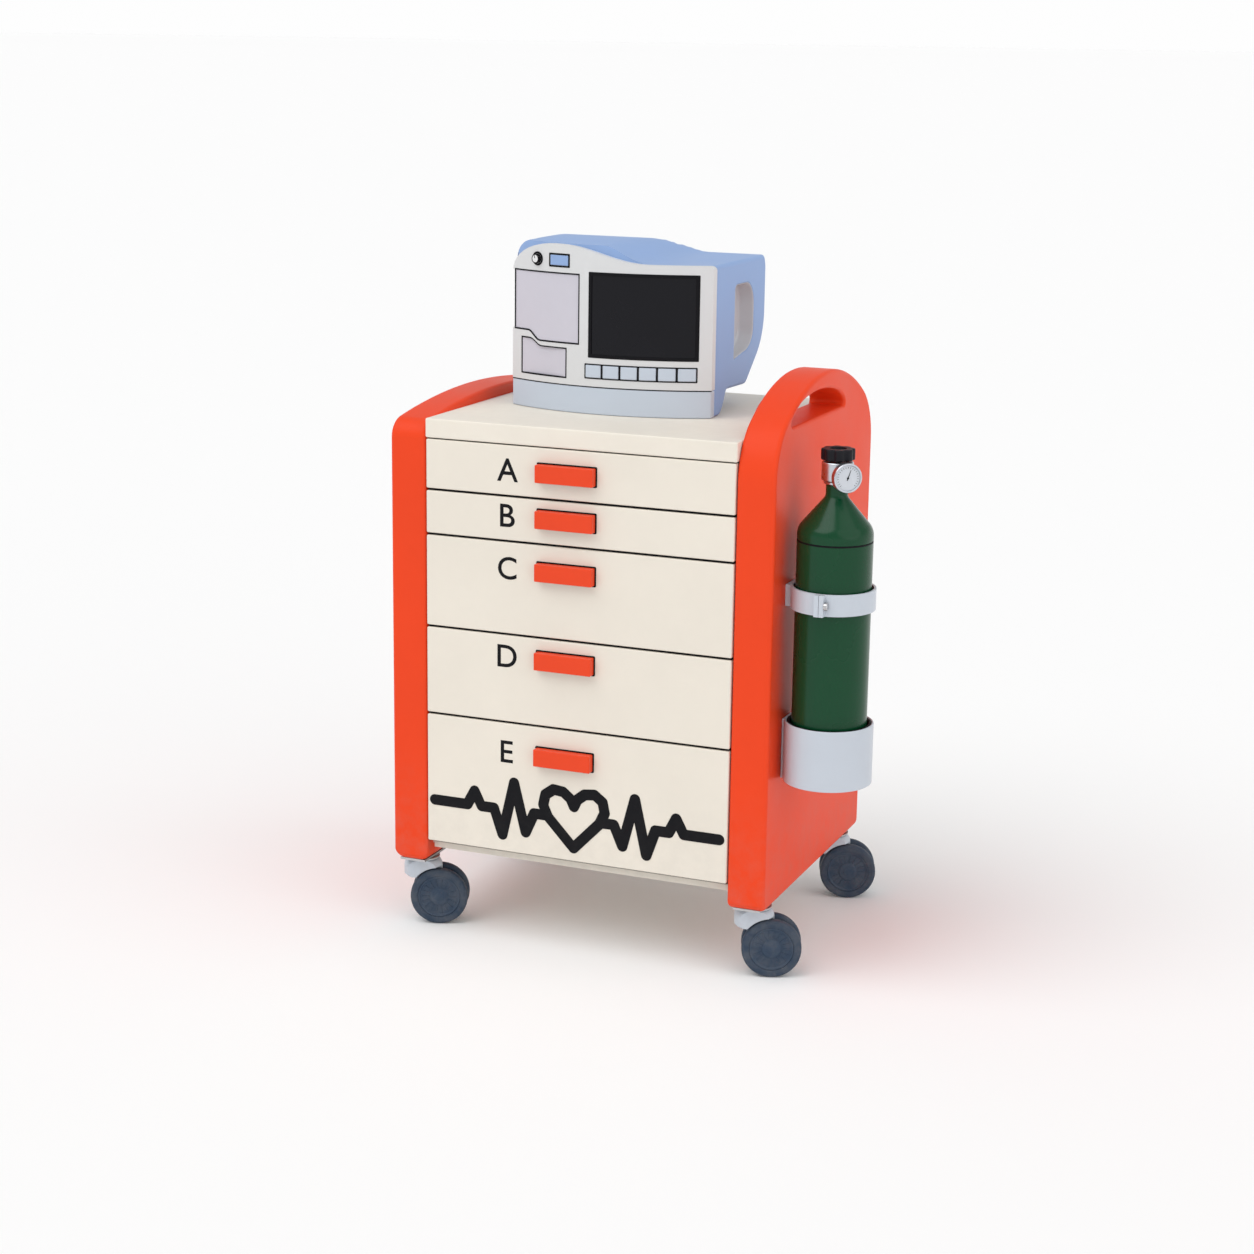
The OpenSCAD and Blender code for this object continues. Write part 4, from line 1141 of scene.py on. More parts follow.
class CART_OT_casters(bpy.types.Operator):
    """Swivel housings, twin wheels and brake pedals"""

    bl_idname = "cart.casters"
    bl_label = "Casters"
    half_width = 24.5 * MM
    inner_gap = 8 * MM
    hub_share = 0.745

    def execute(self, context):
        for key in CASTERS:
            fork, wheel = "caster_fork_" + key, "caster_wheel_" + key
            soften(fork, 1.6 * MM, 3)
            self.wheels(key, wheel)
            self.bearing_ring(key, fork)
        for key in ("rl", "rr"):
            soften("brake_pedal_" + key, 1.0 * MM, 3)
            self.pedal_ribs(key)
        return {"FINISHED"}

    def wheels(self, key, node):
        joint = JOINTS["caster_" + key + "_roll"]
        centre, axle = Vector(joint["pos_m"]), Vector(joint["axis"]).normalized()
        radius = (high(node).z - low(node).z) / 2
        gap = self.inner_gap
        width = self.half_width - gap
        hub = radius * self.hub_share
        tyres, hubs = [], []
        for side in (-1, 1):
            out = axle * side
            start = centre + out * gap
            tread = [
                (hub, 0.6 * MM), (hub, width - 0.6 * MM), (hub + 2 * MM, width), (radius - 6 * MM, width)
            ]
            tread += [(radius - 6 * MM + 6 * MM * math.sin(a), width - 5 * MM + 5 * MM * math.cos(a))
                      for a in (math.radians(t) for t in range(15, 90, 15))]
            tread += [(radius, width / 2)]
            tread += [(radius - 6 * MM + 6 * MM * math.cos(a), 5 * MM - 5 * MM * math.sin(a))
                      for a in (math.radians(t) for t in range(15, 90, 15))]
            tread += [(radius - 6 * MM, 0), (hub + 2 * MM, 0), (hub, 0.6 * MM)]
            tyres.append(lathe("tyre", tread, start, finish("wheel_slate"), out, 96))
            face = width - 1.0 * MM
            disc = [(0, 0), (hub - 0.2 * MM, 0), (hub - 0.2 * MM, face), (hub - 3 * MM, face),
                    (hub - 5 * MM, face - 1.8 * MM), (17 * MM, face - 1.8 * MM), (15 * MM, face - 0.4 * MM),
                    (8.5 * MM, face), (7.5 * MM, face + 0.6 * MM), (0, face + 0.9 * MM)]
            hubs.append(
                lathe("hub", rounded(disc, 0.8 * MM, 2, closed=False), start, finish("hub_slate"), out,
                64)
            )
            hubs.append(self.spokes(start, out, hub, face))
        pin = [(0, -gap - 1 * MM), (5 * MM, -gap - 1 * MM), (5 * MM, gap + 1 * MM), (0, gap + 1 * MM)]
        hubs.append(lathe("axle", pin, centre, finish("hub_slate"), axle, 32))
        fit(joined("caster_tyres_" + key, tyres), BODY_OF[node], SLOT_OF[node], node)
        fit(joined("caster_hubs_" + key, hubs), BODY_OF[node], SLOT_OF[node])

    def spokes(self, start, out, hub, face):
        """Low ribs round the hub's face"""
        outline = rounded(
            [(0, -1.2 * MM), (hub - 24 * MM, -0.8 * MM), (hub - 24 * MM, 0.8 * MM), (0, 1.2 * MM)],
            0.5 * MM, 2
        )
        rib = plate("rib", outline, Matrix.Identity(4), 1.5 * MM, finish("hub_slate"), 0.4 * MM)
        turn = Vector((0, 0, 1)).rotation_difference(out).to_matrix().to_4x4()
        place = Matrix.Translation(start + out * (face - 2.2 * MM)) @ turn
        return repeat("ribs", trees["ring"], rib, place, Count=18, Radius=17.5 * MM, Start=0.0, Sweep=TAU)

    def bearing_ring(self, key, node):
        """The plated swivel race above the housing"""
        swivel = Vector(JOINTS["caster_" + key + "_swivel"]["pos_m"])
        top = high(node).z
        race = in_mm((25, -0.2), (28.5, -0.2), (29.5, 0.6), (29.5, 2.6), (28.5, 3.4), (25, 3.4),
                     (25, -0.2))
        ring = lathe(
            "swivel_race_" + key, race, (swivel.x, swivel.y, top + 0.6 * MM), finish("slide_steel")
        )
        fit(ring, "cabinet", "slide_steel")

    def pedal_ribs(self, key):
        """Raised grip ribs across the pedal"""
        node = "brake_pedal_" + key
        hinge, swivel = JOINTS["brake_" + key + "_press"], JOINTS["caster_" + key + "_swivel"]
        pin = Vector(hinge["pos_m"])
        away = pin - Vector(swivel["pos_m"])
        away = Vector((away.x, away.y, 0)).normalized()
        outline = rounded(in_mm((-11, -0.9), (11, -0.9), (11, 0.9), (-11, 0.9)),
                          0.6 * MM, 2)
        across = Vector((0, 0, 1)).cross(away)
        rib = plate(
            "rib", outline, axes((0, 0, 0), across, -away), 1.4 * MM, finish("pedal_grey"), 0.4 * MM
        )
        start = pin + away * 28 * MM
        place = Matrix.Translation((start.x, start.y, high(node).z - 1.2 * MM))
        ribs = repeat("pedal_ribs_" + key, trees["row"], rib, place, Count=4, Step=-away * 4.5 * MM)
        fit(ribs, BODY_OF[node], SLOT_OF[node])


# ---------- defibrillator ----------


class Bow:
    """The bowed front of the defibrillator, measured from its base."""

    def __init__(self):
        near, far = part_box("defib_base")
        self.left, self.right = near.x, far.x
        self.centre_x = (near.x + far.x) / 2
        self.front = near.y
        self.thick = 14 * MM
        half = (far.x - near.x) / 2
        rise = 47 * MM
        self.radius = (half * half + rise * rise) / (2 * rise)
        self.centre_y = near.y + self.radius

    def y(self, x, depth=0.0):
        radius = self.radius - depth
        return self.centre_y - math.sqrt(radius * radius - (x - self.centre_x) ** 2)


class CART_OT_defib_case(bpy.types.Operator):
    """Blue case with its wave-shaped top, side grips and rear vents"""

    bl_idname = "cart.defib_case"
    bl_label = "Defibrillator Case"
    corner = 45 * MM
    corner_fall = 39 * MM
    wave_start = 170 * MM
    wave_end = 265 * MM
    ridge = 1.2 * MM

    def execute(self, context):
        self.bow = Bow()
        self.settings = look("cart_defib")
        self.floor = low("defib_case").z
        self.back = high("defib_case").y
        self.shell_case()
        for side in (-1, 1):
            self.grip_liner(side)
        self.vents()
        self.feet()
        soften("defib_electronics", 1 * MM, 2)
        return {"FINISHED"}

    def top(self, x):
        """Height of the case across its front: rounded shoulder, crown, wave and level side"""
        crown, level = self.settings.crown, self.settings.shoulder
        corner, start, end = self.corner, self.wave_start, self.wave_end
        u = x - self.bow.left
        if u < corner:
            height = crown - self.corner_fall * (1 - math.sqrt(max(0.0, 1 - ((corner - u) / corner) ** 2)))
        elif u < start:
            height = crown
        elif u < end:
            height = level + (crown - level) * (1 + math.cos(math.pi * (u - start) / (end - start))) / 2
        else:
            height = level
        return self.floor + height

    def side_loop(self, x):
        """The case's outline in depth and height where it crosses that x"""
        front = self.bow.y(x, self.bow.thick - 0.3 * MM)
        under = [tuple(spot(0, y, z).yz) for y, z in ((259, 915), (273, 929), (289, 955), (388, 953))]
        belly = curve_points(370, 1075, 110, 104, -48, 0, 8)
        back = curve_points(440, 1148, 40, 38, 0, 84, 12)
        crest = [
            (430, 1190.5), (420, 1194.5), (400, 1197.7), (380, 1200), (355, 1202), (330, 1203.3),
            (305, 1203.9), (280, 1204), (250, 1203.4), (225, 1202.2), (200, 1201)
        ]
        belly, back, crest = ([tuple(spot(0, y, z).yz) for y, z in run] for run in (belly, back, crest))
        lower = rounded([(front, self.floor)] + under + belly[:1], 7 * MM, 3, closed=False)
        limit, soft = self.top(x), self.ridge
        made = lower[:-1] + belly
        for y, z in back + crest:
            y = max(y, front + 0.5 * MM)
            made.append((y, self.blend(z, limit, soft)))
        made.append((front, self.blend(crest[-1][1], limit, soft)))
        return made

    def blend(self, a, b, soft):
        """The lower of two heights, with the change from one to the other rounded"""
        near = max(soft - abs(a - b), 0.0) / soft
        return min(a, b) - near * near * soft / 4

    def stations(self):
        """Where the outline is taken across the case, with the inset that rounds the sides"""
        edge = self.settings.side_edge
        made = []
        for k in range(5):
            a = math.pi / 2 * k / 5
            made.append((edge * (1 - math.cos(a)), edge * (1 - math.sin(a))))
        left = [(self.bow.left + into, shrink) for into, shrink in made]
        right = [(self.bow.right - into, shrink) for into, shrink in reversed(made)]
        corner = [self.bow.left + self.corner * (1 - math.cos(math.radians(a))) for a in range(35, 91, 8)]
        inner = [x for x in corner if x > self.bow.left + edge]
        count = 30
        start = inner[-1]
        inner += [start + (self.bow.right - edge - start) * (k + 1) / count for k in range(count)]
        return left + [(x, 0.0) for x in inner] + right

    def grip_outline(self):
        """The side view of a hand grip"""
        points = [(321, 1004), (366, 1012)] + curve_points(366, 1048, 52, 36, -80, 0, 6)
        points += curve_points(380, 1089, 38, 42, 0, 80, 6) + [(361, 1131), (327, 1131), (321, 1125)]
        return rounded([tuple(spot(0, y, z).yz) for y, z in points], 5 * MM, 3)

    def shell_case(self):
        shell = Shell()
        rings = []
        for x, shrink in self.stations():
            loop = self.side_loop(x)
            loop = inset(loop, shrink) if shrink > 1e-6 else loop
            rings.append([(x, y, z) for y, z in loop])
        made = shell.tube(rings)
        grip = self.grip_outline()
        for side, ring in ((-1, made[0]), (1, made[-1])):
            face = self.bow.left if side < 0 else self.bow.right
            steps = in_mm((3, 0), (2.0, 0.25), (1.2, 1.0), (0.9, 2.2), (0.9, 31))
            pocket = shell.tube(
                [[(face - side * deep, y, z) for y, z in inset(grip, -grow)] for grow, deep in steps]
            )
            shell.cap(ring, [pocket[0]])
            shell.cap(pocket[-1])
        obj = shell.piece("defib_case_body", finish("defib_blue"), 42)
        fit(obj, "defib", SLOT_OF["defib_case"], "defib_case")

    def grip_liner(self, side):
        """The pale moulded cup inside each hand grip"""
        shell = Shell()
        grip = self.grip_outline()
        face = self.bow.left if side < 0 else self.bow.right
        steps = [
            (0.8, 30.5), (0.8, 1.4), (0.4, 0.8), (0.0, 0.8), (-0.6, 1.4), (-0.8, 4), (-0.8, 24),
            (-2.2, 27.5), (-5, 29)
        ]
        made = shell.tube(
            [[(face - side * deep * MM, y, z) for y, z in inset(grip, -grow * MM)] for grow, deep in steps]
        )
        shell.cap(made[0])
        shell.cap(made[-1])
        name = "defib_grip_" + ("left" if side < 0 else "right")
        fit(shell.piece(name, finish("grip_grey"), 45), "defib", "knob_light")

    def vents(self):
        """A block of cooling slots on the back, made as solid black bars: painted shade of the slots' openings"""
        slat = rounded(in_mm((-34, -1.3), (34, -1.3), (34, 1.3), (-34, 1.3)), 1.3 * MM, 3)
        rows = []
        for x in (-60 * MM, 60 * MM):
            # painted shade: each black bar stands in for the dark inside of a slot
            part = plate(
                "slat", slat, axes((0, 0, 0), (-1, 0, 0), (0, 0, 1)), 1.6 * MM, finish("seal_and_shade_black"),
                0.4 * MM
            )
            place = Matrix.Translation((self.bow.centre_x + x, self.back - 1.2 * MM, self.floor + 172 * MM))
            rows.append(repeat("slats", trees["row"], part, place, Count=5, Step=(0, 0, 6 * MM)))
        fit(joined("defib_vents", rows), "defib", "valve_black")

    def feet(self):
        """The block that carries the case behind, and soft pads set flush with the undersides"""
        near, far = spot(-165, 271, 915.3), spot(45, 399, 975)
        block = rounded([(near.x, near.y), (far.x, near.y), (far.x, far.y), (near.x, far.y)], 12 * MM, 5)
        place = Matrix.Translation((0, 0, near.z))
        fit(
            plate("defib_rear_foot", block, place, far.z - near.z, finish("defib_blue"), 2 * MM), "defib",
            "defib_blue"
        )
        pads = []
        for x, y in ((-170, 227), (110, 227), (-150, 385), (30, 385)):
            disc = in_mm((0, 0), (9, 0), (10, 0.3), (10, 3), (0, 3))
            at = spot(x, y, 0)
            pads.append(lathe("pad", disc, (at.x, at.y, self.floor), finish("seal_and_shade_black"), segments=32))
        fit(joined("defib_feet", pads), "defib", "valve_black")


class CART_OT_defib_front(bpy.types.Operator):
    """Bowed front, base, screen, keys, doors, knob and button"""

    bl_idname = "cart.defib_front"
    bl_label = "Defibrillator Front"

    def execute(self, context):
        self.bow = Bow()
        self.bezel = look("cart_defib").bezel
        soften("defib_fascia", 1.1 * MM, 3)
        soften("defib_base", 2.2 * MM, 4)
        soften("defib_screen", 0.5 * MM, 2)
        soften("defib_pad_door", 0.9 * MM, 2)
        soften("defib_printer_door", 0.8 * MM, 2)
        soften("defib_power_button", 1.2 * MM, 3)
        for i in range(6):
            soften(f"defib_key_{i + 1}", 1.2 * MM, 3)
        self.knob()
        self.bezels()
        self.seams()
        return {"FINISHED"}

    def frame_round(self, name, outer, inner, rise=0.7 * MM, sunk=1.5 * MM):
        """A closed dark frame between two outlines, which follows the bow"""
        shell = Shell()
        rings = []
        for loop, depth in ((outer, sunk), (outer, -rise * 0.6), (inset(outer, 0.4 * MM), -rise),
                            (inset(inner, -0.4 * MM), -rise), (inner, -rise * 0.6), (inner, sunk)):
            rings.append([(x, self.bow.y(x) + depth, z) for x, z in loop])
        shell.tube(rings, wrap=True)
        return shell.piece(name, finish("seal_and_shade_black"), 35)

    def box_loop(self, near, far, grow, radius=1.5 * MM, pieces=14):
        """A rectangle of evenly spaced points, so that it can follow the bow"""
        corners = rounded([(near[0] - grow, near[1] - grow), (far[0] + grow, near[1] - grow),
                           (far[0] + grow, far[1] + grow), (near[0] - grow, far[1] + grow)], radius, 3)
        made = []
        for i, point in enumerate(corners):
            a, b = Vector(point), Vector(corners[(i + 1) % len(corners)])
            made.append(tuple(a))
            if i % 4 == 3:
                made += [tuple(a.lerp(b, k / pieces)) for k in range(1, pieces)]
        return made

    def bezels(self):
        bar = self.bezel
        frames = []
        near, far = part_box("defib_screen")
        spots = [((near.x, near.z), (far.x, far.z), bar + 1 * MM, -1.6 * MM)]
        for name in [f"defib_key_{i + 1}" for i in range(6)] + ["defib_power_button"]:
            near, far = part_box(name)
            grow = 2.4 * MM if "key" in name else bar
            spots.append(((near.x, near.z), (far.x, far.z), grow, 0.5 * MM))
        for near, far, grow, shrink in spots:
            frames.append(
                self.frame_round("frame", self.box_loop(near, far, grow),
                self.box_loop(near, far, shrink))
            )
        for node in ("defib_pad_door", "defib_printer_door"):
            loop = self.follow(front_loop(node))
            frames.append(
                self.frame_round("frame", inset(loop, -2.6 * MM), inset(loop, -0.5 * MM), 0.5 * MM,
                3 * MM)
            )
        fit(joined("defib_bezels", frames), "defib", "valve_black")

    def follow(self, loop):
        """An outline with long straight runs cut up, so that it can follow the bow"""
        made = []
        for a, b in zip(loop, loop[1:] + loop[:1]):
            a, b = Vector(a), Vector(b)
            count = max(1, round((b - a).length / (6 * MM)))
            made += [tuple(a.lerp(b, k / count)) for k in range(count)]
        return made

    def seams(self):
        """A dark gasket between the front and the base"""
        z = high("defib_base").z
        low_x, high_x = self.bow.left + 0.5 * MM, self.bow.right - 0.5 * MM
        count = 48
        shell = Shell()
        rings = []
        for k in range(count + 1):
            x = low_x + (high_x - low_x) * k / count
            front = self.bow.y(x) - 0.25 * MM
            section = [
                (front, z - 0.7 * MM), (front + 3 * MM, z - 0.7 * MM), (front + 3 * MM, z + 0.9 * MM),
                (front, z + 0.9 * MM)
            ]
            rings.append([(x, y, up) for y, up in section])
        made = shell.tube(rings)
        shell.cap(made[0])
        shell.cap(made[-1])
        fit(shell.piece("defib_base_gasket", finish("seal_and_shade_black")), "defib", "valve_black")

    def knob(self):
        node = "defib_knob"
        joint = JOINTS["knob_turn"]
        at, out = Vector(joint["pos_m"]), Vector(joint["axis"]).normalized()
        grip = rounded(in_mm((0, -10), (2.5, -10), (2.5, 0.5), (8, 0.5), (8, 6.8), (6.4, 6.8), (6.4, 5),
                             (0, 5)), 0.4 * MM, 2, closed=False)
        fit(lathe("defib_knob_grip", grip, at, finish("seal_and_shade_black"), out, 64), BODY_OF[node], "valve_black")
        cap = rounded(in_mm((0, 4.95), (6.3, 4.95), (6.3, 6.9), (0, 6.9)), 0.5 * MM, 2, closed=False)
        fit(
            lathe("defib_knob_cap", cap, at, finish("knob_light"), out, 64), BODY_OF[node], SLOT_OF[node],
            node
        )
        turn = Vector((0, 0, 1)).rotation_difference(out).to_matrix().to_4x4()
        bar = rounded(in_mm((-0.7, 1), (0.7, 1), (0.7, 6), (-0.7, 6)), 0.4 * MM, 2)
        pointer = plate(
            "defib_knob_pointer", bar,
            Matrix.Translation(at) @ turn @ Matrix.Translation((0, 0, 6.2 * MM)),
            1.0 * MM, finish("seal_and_shade_black"), 0.2 * MM
        )
        fit(pointer, BODY_OF[node], "valve_black")
        collar = in_mm((8.6, -0.5), (8.6, 0.9), (9.2, 1.2), (11.4, 1.2), (12.0, 0.7), (12.0, -0.5),
                       (8.6, -0.5))
        ring = lathe("defib_knob_collar", collar, at, finish("seal_and_shade_black"), out, 64)
        fit(ring, "defib", "valve_black")


# ---------- oxygen ----------


class CART_OT_oxygen(bpy.types.Operator):
    """Enamelled cylinder, valve, gauge and knob"""

    bl_idname = "cart.oxygen"
    bl_label = "Oxygen Cylinder"
    seam = 403.7 * MM
    neck = 18 * MM
    shoulder = 30 * MM
    gauge_height = 16 * MM
    gauge_turn = math.radians(40)
    gauge_reach = 30 * MM

    def execute(self, context):
        self.cylinder()
        self.regulator()
        self.valve_knob()
        return {"FINISHED"}

    def cylinder(self):
        node = "oxygen_cylinder"
        near, far = low(node), high(node)
        centre = middle(node)
        radius = (far.x - near.x) / 2
        seam, neck, soft = self.seam, self.neck, self.shoulder
        height = far.z - near.z
        profile = [(0, 4 * MM), (radius - 26 * MM, 3 * MM), (radius - 14 * MM, 0)]
        profile += curve_points(radius - 12 * MM, 12 * MM, 12 * MM, 12 * MM, -80, 0, 6)
        profile += [
            (radius, seam - 2.4 * MM), (radius - 0.9 * MM, seam - 1.2 * MM),
            (radius - 0.9 * MM, seam + 1.2 * MM), (radius, seam + 2.4 * MM)
        ]
        profile += curve_points(radius - soft, seam + 9 * MM, soft, soft, 0, 40, 8)
        profile += in_mm((20.5, 473.3), (19, 475.6), (18.2, 478.2), (18, 481))
        profile += [(neck, height - 0.8 * MM), (neck - 0.8 * MM, height), (0, height)]
        body = lathe(
            "oxygen_bottle", profile, (centre.x, centre.y, near.z), finish("oxygen_green"), segments=128
        )
        fit(body, BODY_OF[node], SLOT_OF[node], node)
        line = [
            (radius - 0.8 * MM, seam - 1.5 * MM), (radius - 0.1 * MM, seam - 1.1 * MM),
            (radius - 0.1 * MM, seam + 1.1 * MM), (radius - 0.8 * MM, seam + 1.5 * MM),
            (radius - 0.8 * MM, seam - 1.5 * MM)
        ]
        band = lathe("oxygen_seam", line, (centre.x, centre.y, near.z), finish("seal_and_shade_black"), segments=128)
        fit(band, BODY_OF[node], "valve_black")

    def regulator(self):
        node = "oxygen_regulator"
        neck = high("oxygen_cylinder").z
        x, y = middle("oxygen_cylinder").x, middle("oxygen_cylinder").y
        steel = finish("regulator_metal")
        body = rounded(in_mm((0, 0.05), (22, 0.05), (22, 4.5), (26, 6.5), (26, 35), (24, 37), (5, 37),
                             (5, 45), (0, 45)), 1.4 * MM, 3, closed=False)
        parts = [lathe("valve", body, (x, y, neck), steel, segments=72)]
        centre = Vector((x, y, neck + self.gauge_height))
        barb = in_mm((0, 0), (7, 0), (7, 40))
        for k in range(3):
            barb += [(5.2 * MM, (41 + 3.6 * k) * MM), (3.6 * MM, (44 + 3.6 * k) * MM)]
        barb += [(0, 52 * MM)]
        parts.append(lathe("outlet", barb, centre, steel, (0, 1, 0), 40))
        nut = plate(
            "nut", [(11 * MM * math.cos(TAU * k / 6), 11 * MM * math.sin(TAU * k / 6)) for k in range(6)],
            axes(centre + Vector((0, 27 * MM, 0)), (-1, 0, 0), (0, 0, 1)), 8 * MM, steel, 0.6 * MM
        )
        parts.append(nut)
        turn = self.gauge_turn
        out = Vector((math.sin(turn), -math.cos(turn), 0))
        parts.append(lathe("stem", in_mm((0, 0), (6, 0), (6, 31), (0, 31)), centre, steel, out, 32))
        fit(joined("oxygen_valve", parts), BODY_OF[node], SLOT_OF[node], node)
        self.gauge(centre, out, BODY_OF[node])

    def gauge(self, centre, out, body):
        start = centre + out * self.gauge_reach
        case = rounded(in_mm((0, 0), (21, 0), (24.3, 3), (24.3, 14.4), (23.1, 15.8), (21, 15.6),
                             (20.6, 13.2), (0, 13.2)), 0.7 * MM, 3, closed=False)
        fit(lathe("gauge_case", case, start, finish("regulator_metal"), out, 72), body, "regulator_metal")
        dial = in_mm((0, 13.25), (20.4, 13.25), (20.4, 13.8), (0, 13.8))
        fit(lathe("gauge_dial", dial, start, finish("dial_white"), out, 64), body, "knob_light")
        flat = axes(start, Vector((0, 0, 1)).cross(out), (0, 0, 1)) @ Matrix.Translation((0, 0, 13.7 * MM))
        mark = plate("mark", rounded(in_mm((0, -0.3), (2.6, -0.3), (2.6, 0.3), (0, 0.3)),
                                     0.15 * MM, 2), Matrix.Identity(4), 0.35 * MM, finish("seal_and_shade_black"))
        count = look("cart_gas").dial_ticks
        parts = [repeat("marks", trees["ring"], mark, flat, Count=count, Radius=16 * MM,
                        Start=math.radians(-45), Sweep=math.radians(270) * count / (count - 1))]
        needle = rounded(in_mm((-4, -0.8), (14, -0.25), (14, 0.25), (-4, 0.8)), 0.3 * MM, 2)
        parts.append(plate("needle", needle, flat @ Matrix.Rotation(math.radians(70), 4, "Z"), 0.7 * MM,
                           finish("seal_and_shade_black")))
        hub = in_mm((0, 13.7), (1.8, 13.7), (1.6, 14.8), (0, 15))
        parts.append(lathe("hub", hub, start, finish("seal_and_shade_black"), out, 24))
        fit(joined("gauge_marks", parts), body, "valve_black")

    def valve_knob(self):
        node = "oxygen_valve_knob"
        near, far = low(node), high(node)
        centre = middle(node)
        reach = (far.x - near.x) / 2
        outline = []
        for k in range(120):
            a = TAU * k / 120
            scallop = 0.5 + 0.5 * math.cos(8 * a)
            radius = reach - 3.4 * MM * scallop ** 2
            outline.append((radius * math.cos(a), radius * math.sin(a)))
        hollow = [(14 * MM * math.cos(TAU * k / 48), 14 * MM * math.sin(TAU * k / 48)) for k in range(48)]
        place = Matrix.Translation((centre.x, centre.y, near.z))
        shell = Shell()
        height = far.z - near.z
        steps = [(2.4, 0), (1.2, 0.3), (0.3, 1.3), (0, 2.6)]
        rings = [
            [place @ Vector((x, y, up * MM)) for x, y in inset(outline, into * MM)] for into, up in steps
        ]
        rings += [[place @ Vector((x, y, height - up * MM)) for x, y in inset(outline, into * MM)]
                  for into, up in reversed(steps)]
        outer = shell.tube(rings)
        dish = shell.tube([[place @ Vector((x * s, y * s, height - d * MM)) for x, y in hollow]
                           for s, d in ((1.06, 0), (1.0, 0.4), (0.96, 4), (0.88, 5), (0.3, 4.4))])
        shell.cap(outer[0])
        shell.cap(outer[-1], [dish[0]])
        shell.cap(dish[-1])
        fit(shell.piece("oxygen_knob", finish("valve_black"), 45), BODY_OF[node], SLOT_OF[node], node)


class CART_OT_holders(bpy.types.Operator):
    """Cup and two-part band that hold the cylinder, with their linings and latch"""

    bl_idname = "cart.holders"
    bl_label = "Cylinder Holders"

    def execute(self, context):
        x, y = middle("oxygen_cylinder").x, middle("oxygen_cylinder").y
        soften("cylinder_cup", 2.2 * MM, 4)
        soften("band_saddle", 0.9 * MM, 2)
        soften("band_front", 0.9 * MM, 2)
        top = high("cylinder_cup").z
        lip = in_mm((65.5, -14), (69.8, -14), (69.8, -1.2), (68.5, -0.2), (66.5, -0.2), (65.5, -1.2),
                    (65.5, -14))
        fit(
            lathe("cup_lining", lip, (x, y, top), finish("seal_and_shade_black"), segments=96), "cabinet",
            "valve_black"
        )
        near, far = low("band_saddle").z + 2 * MM, high("band_saddle").z - 2 * MM
        halves = (("saddle_lining", "band_saddle", 97, 263), ("front_lining", "band_front", -83, 83))
        for name, node, start, end in halves:
            self.lining(name, (x, y), near, far, start, end, BODY_OF[node])
        self.latch()
        return {"FINISHED"}

    def lining(self, name, centre, near, far, start, end, body):
        """A rubber strip inside half of the band"""
        shell = Shell()
        rings = []
        steps = 32
        for k in range(steps + 1):
            a = math.radians(start + (end - start) * k / steps)
            section = rounded(
                [(63.2 * MM, near), (65.9 * MM, near), (65.9 * MM, far), (63.2 * MM, far)], 0.8 * MM, 2
            )
            rings.append(
                [(centre[0] + r * math.cos(a), centre[1] + r * math.sin(a), z) for r, z in section]
            )
        made = shell.tube(rings)
        shell.cap(made[0])
        shell.cap(made[-1])
        fit(shell.piece(name, finish("seal_and_shade_black"), 45), body, "valve_black")

    def latch(self):
        """A knurled thumb nut on the band's front lug"""
        node = "band_front"
        at = Vector((middle("oxygen_cylinder").x + 8 * MM, low(node).y + 4.5 * MM, middle(node).z))
        nut = rounded(in_mm((0, 0), (6, 0), (6.5, 1), (6.5, 6), (5.5, 7), (0, 7)),
                      0.5 * MM, 2, closed=False)
        parts = [lathe("nut", nut, at, finish("screw_steel"), (1, 0, 0), 40)]
        rib = plate("rib", rounded(in_mm((-0.35, 0), (0.35, 0), (0.35, 5), (-0.35, 5)), 0.2 * MM, 2),
                    axes((-0.3 * MM, 0, 1 * MM), (0, 1, 0), (0, 0, 1)), 0.6 * MM, finish("screw_steel"))
        turn = Vector((0, 0, 1)).rotation_difference(Vector((1, 0, 0))).to_matrix().to_4x4()
        parts.append(
            repeat("knurl", trees["ring"], rib, Matrix.Translation(at) @ turn, Count=28, Radius=6.5 * MM,
            Start=0.0, Sweep=TAU)
        )
        fit(joined("band_thumb_nut", parts), BODY_OF[node], "screw_steel")


# ---------- stage ----------


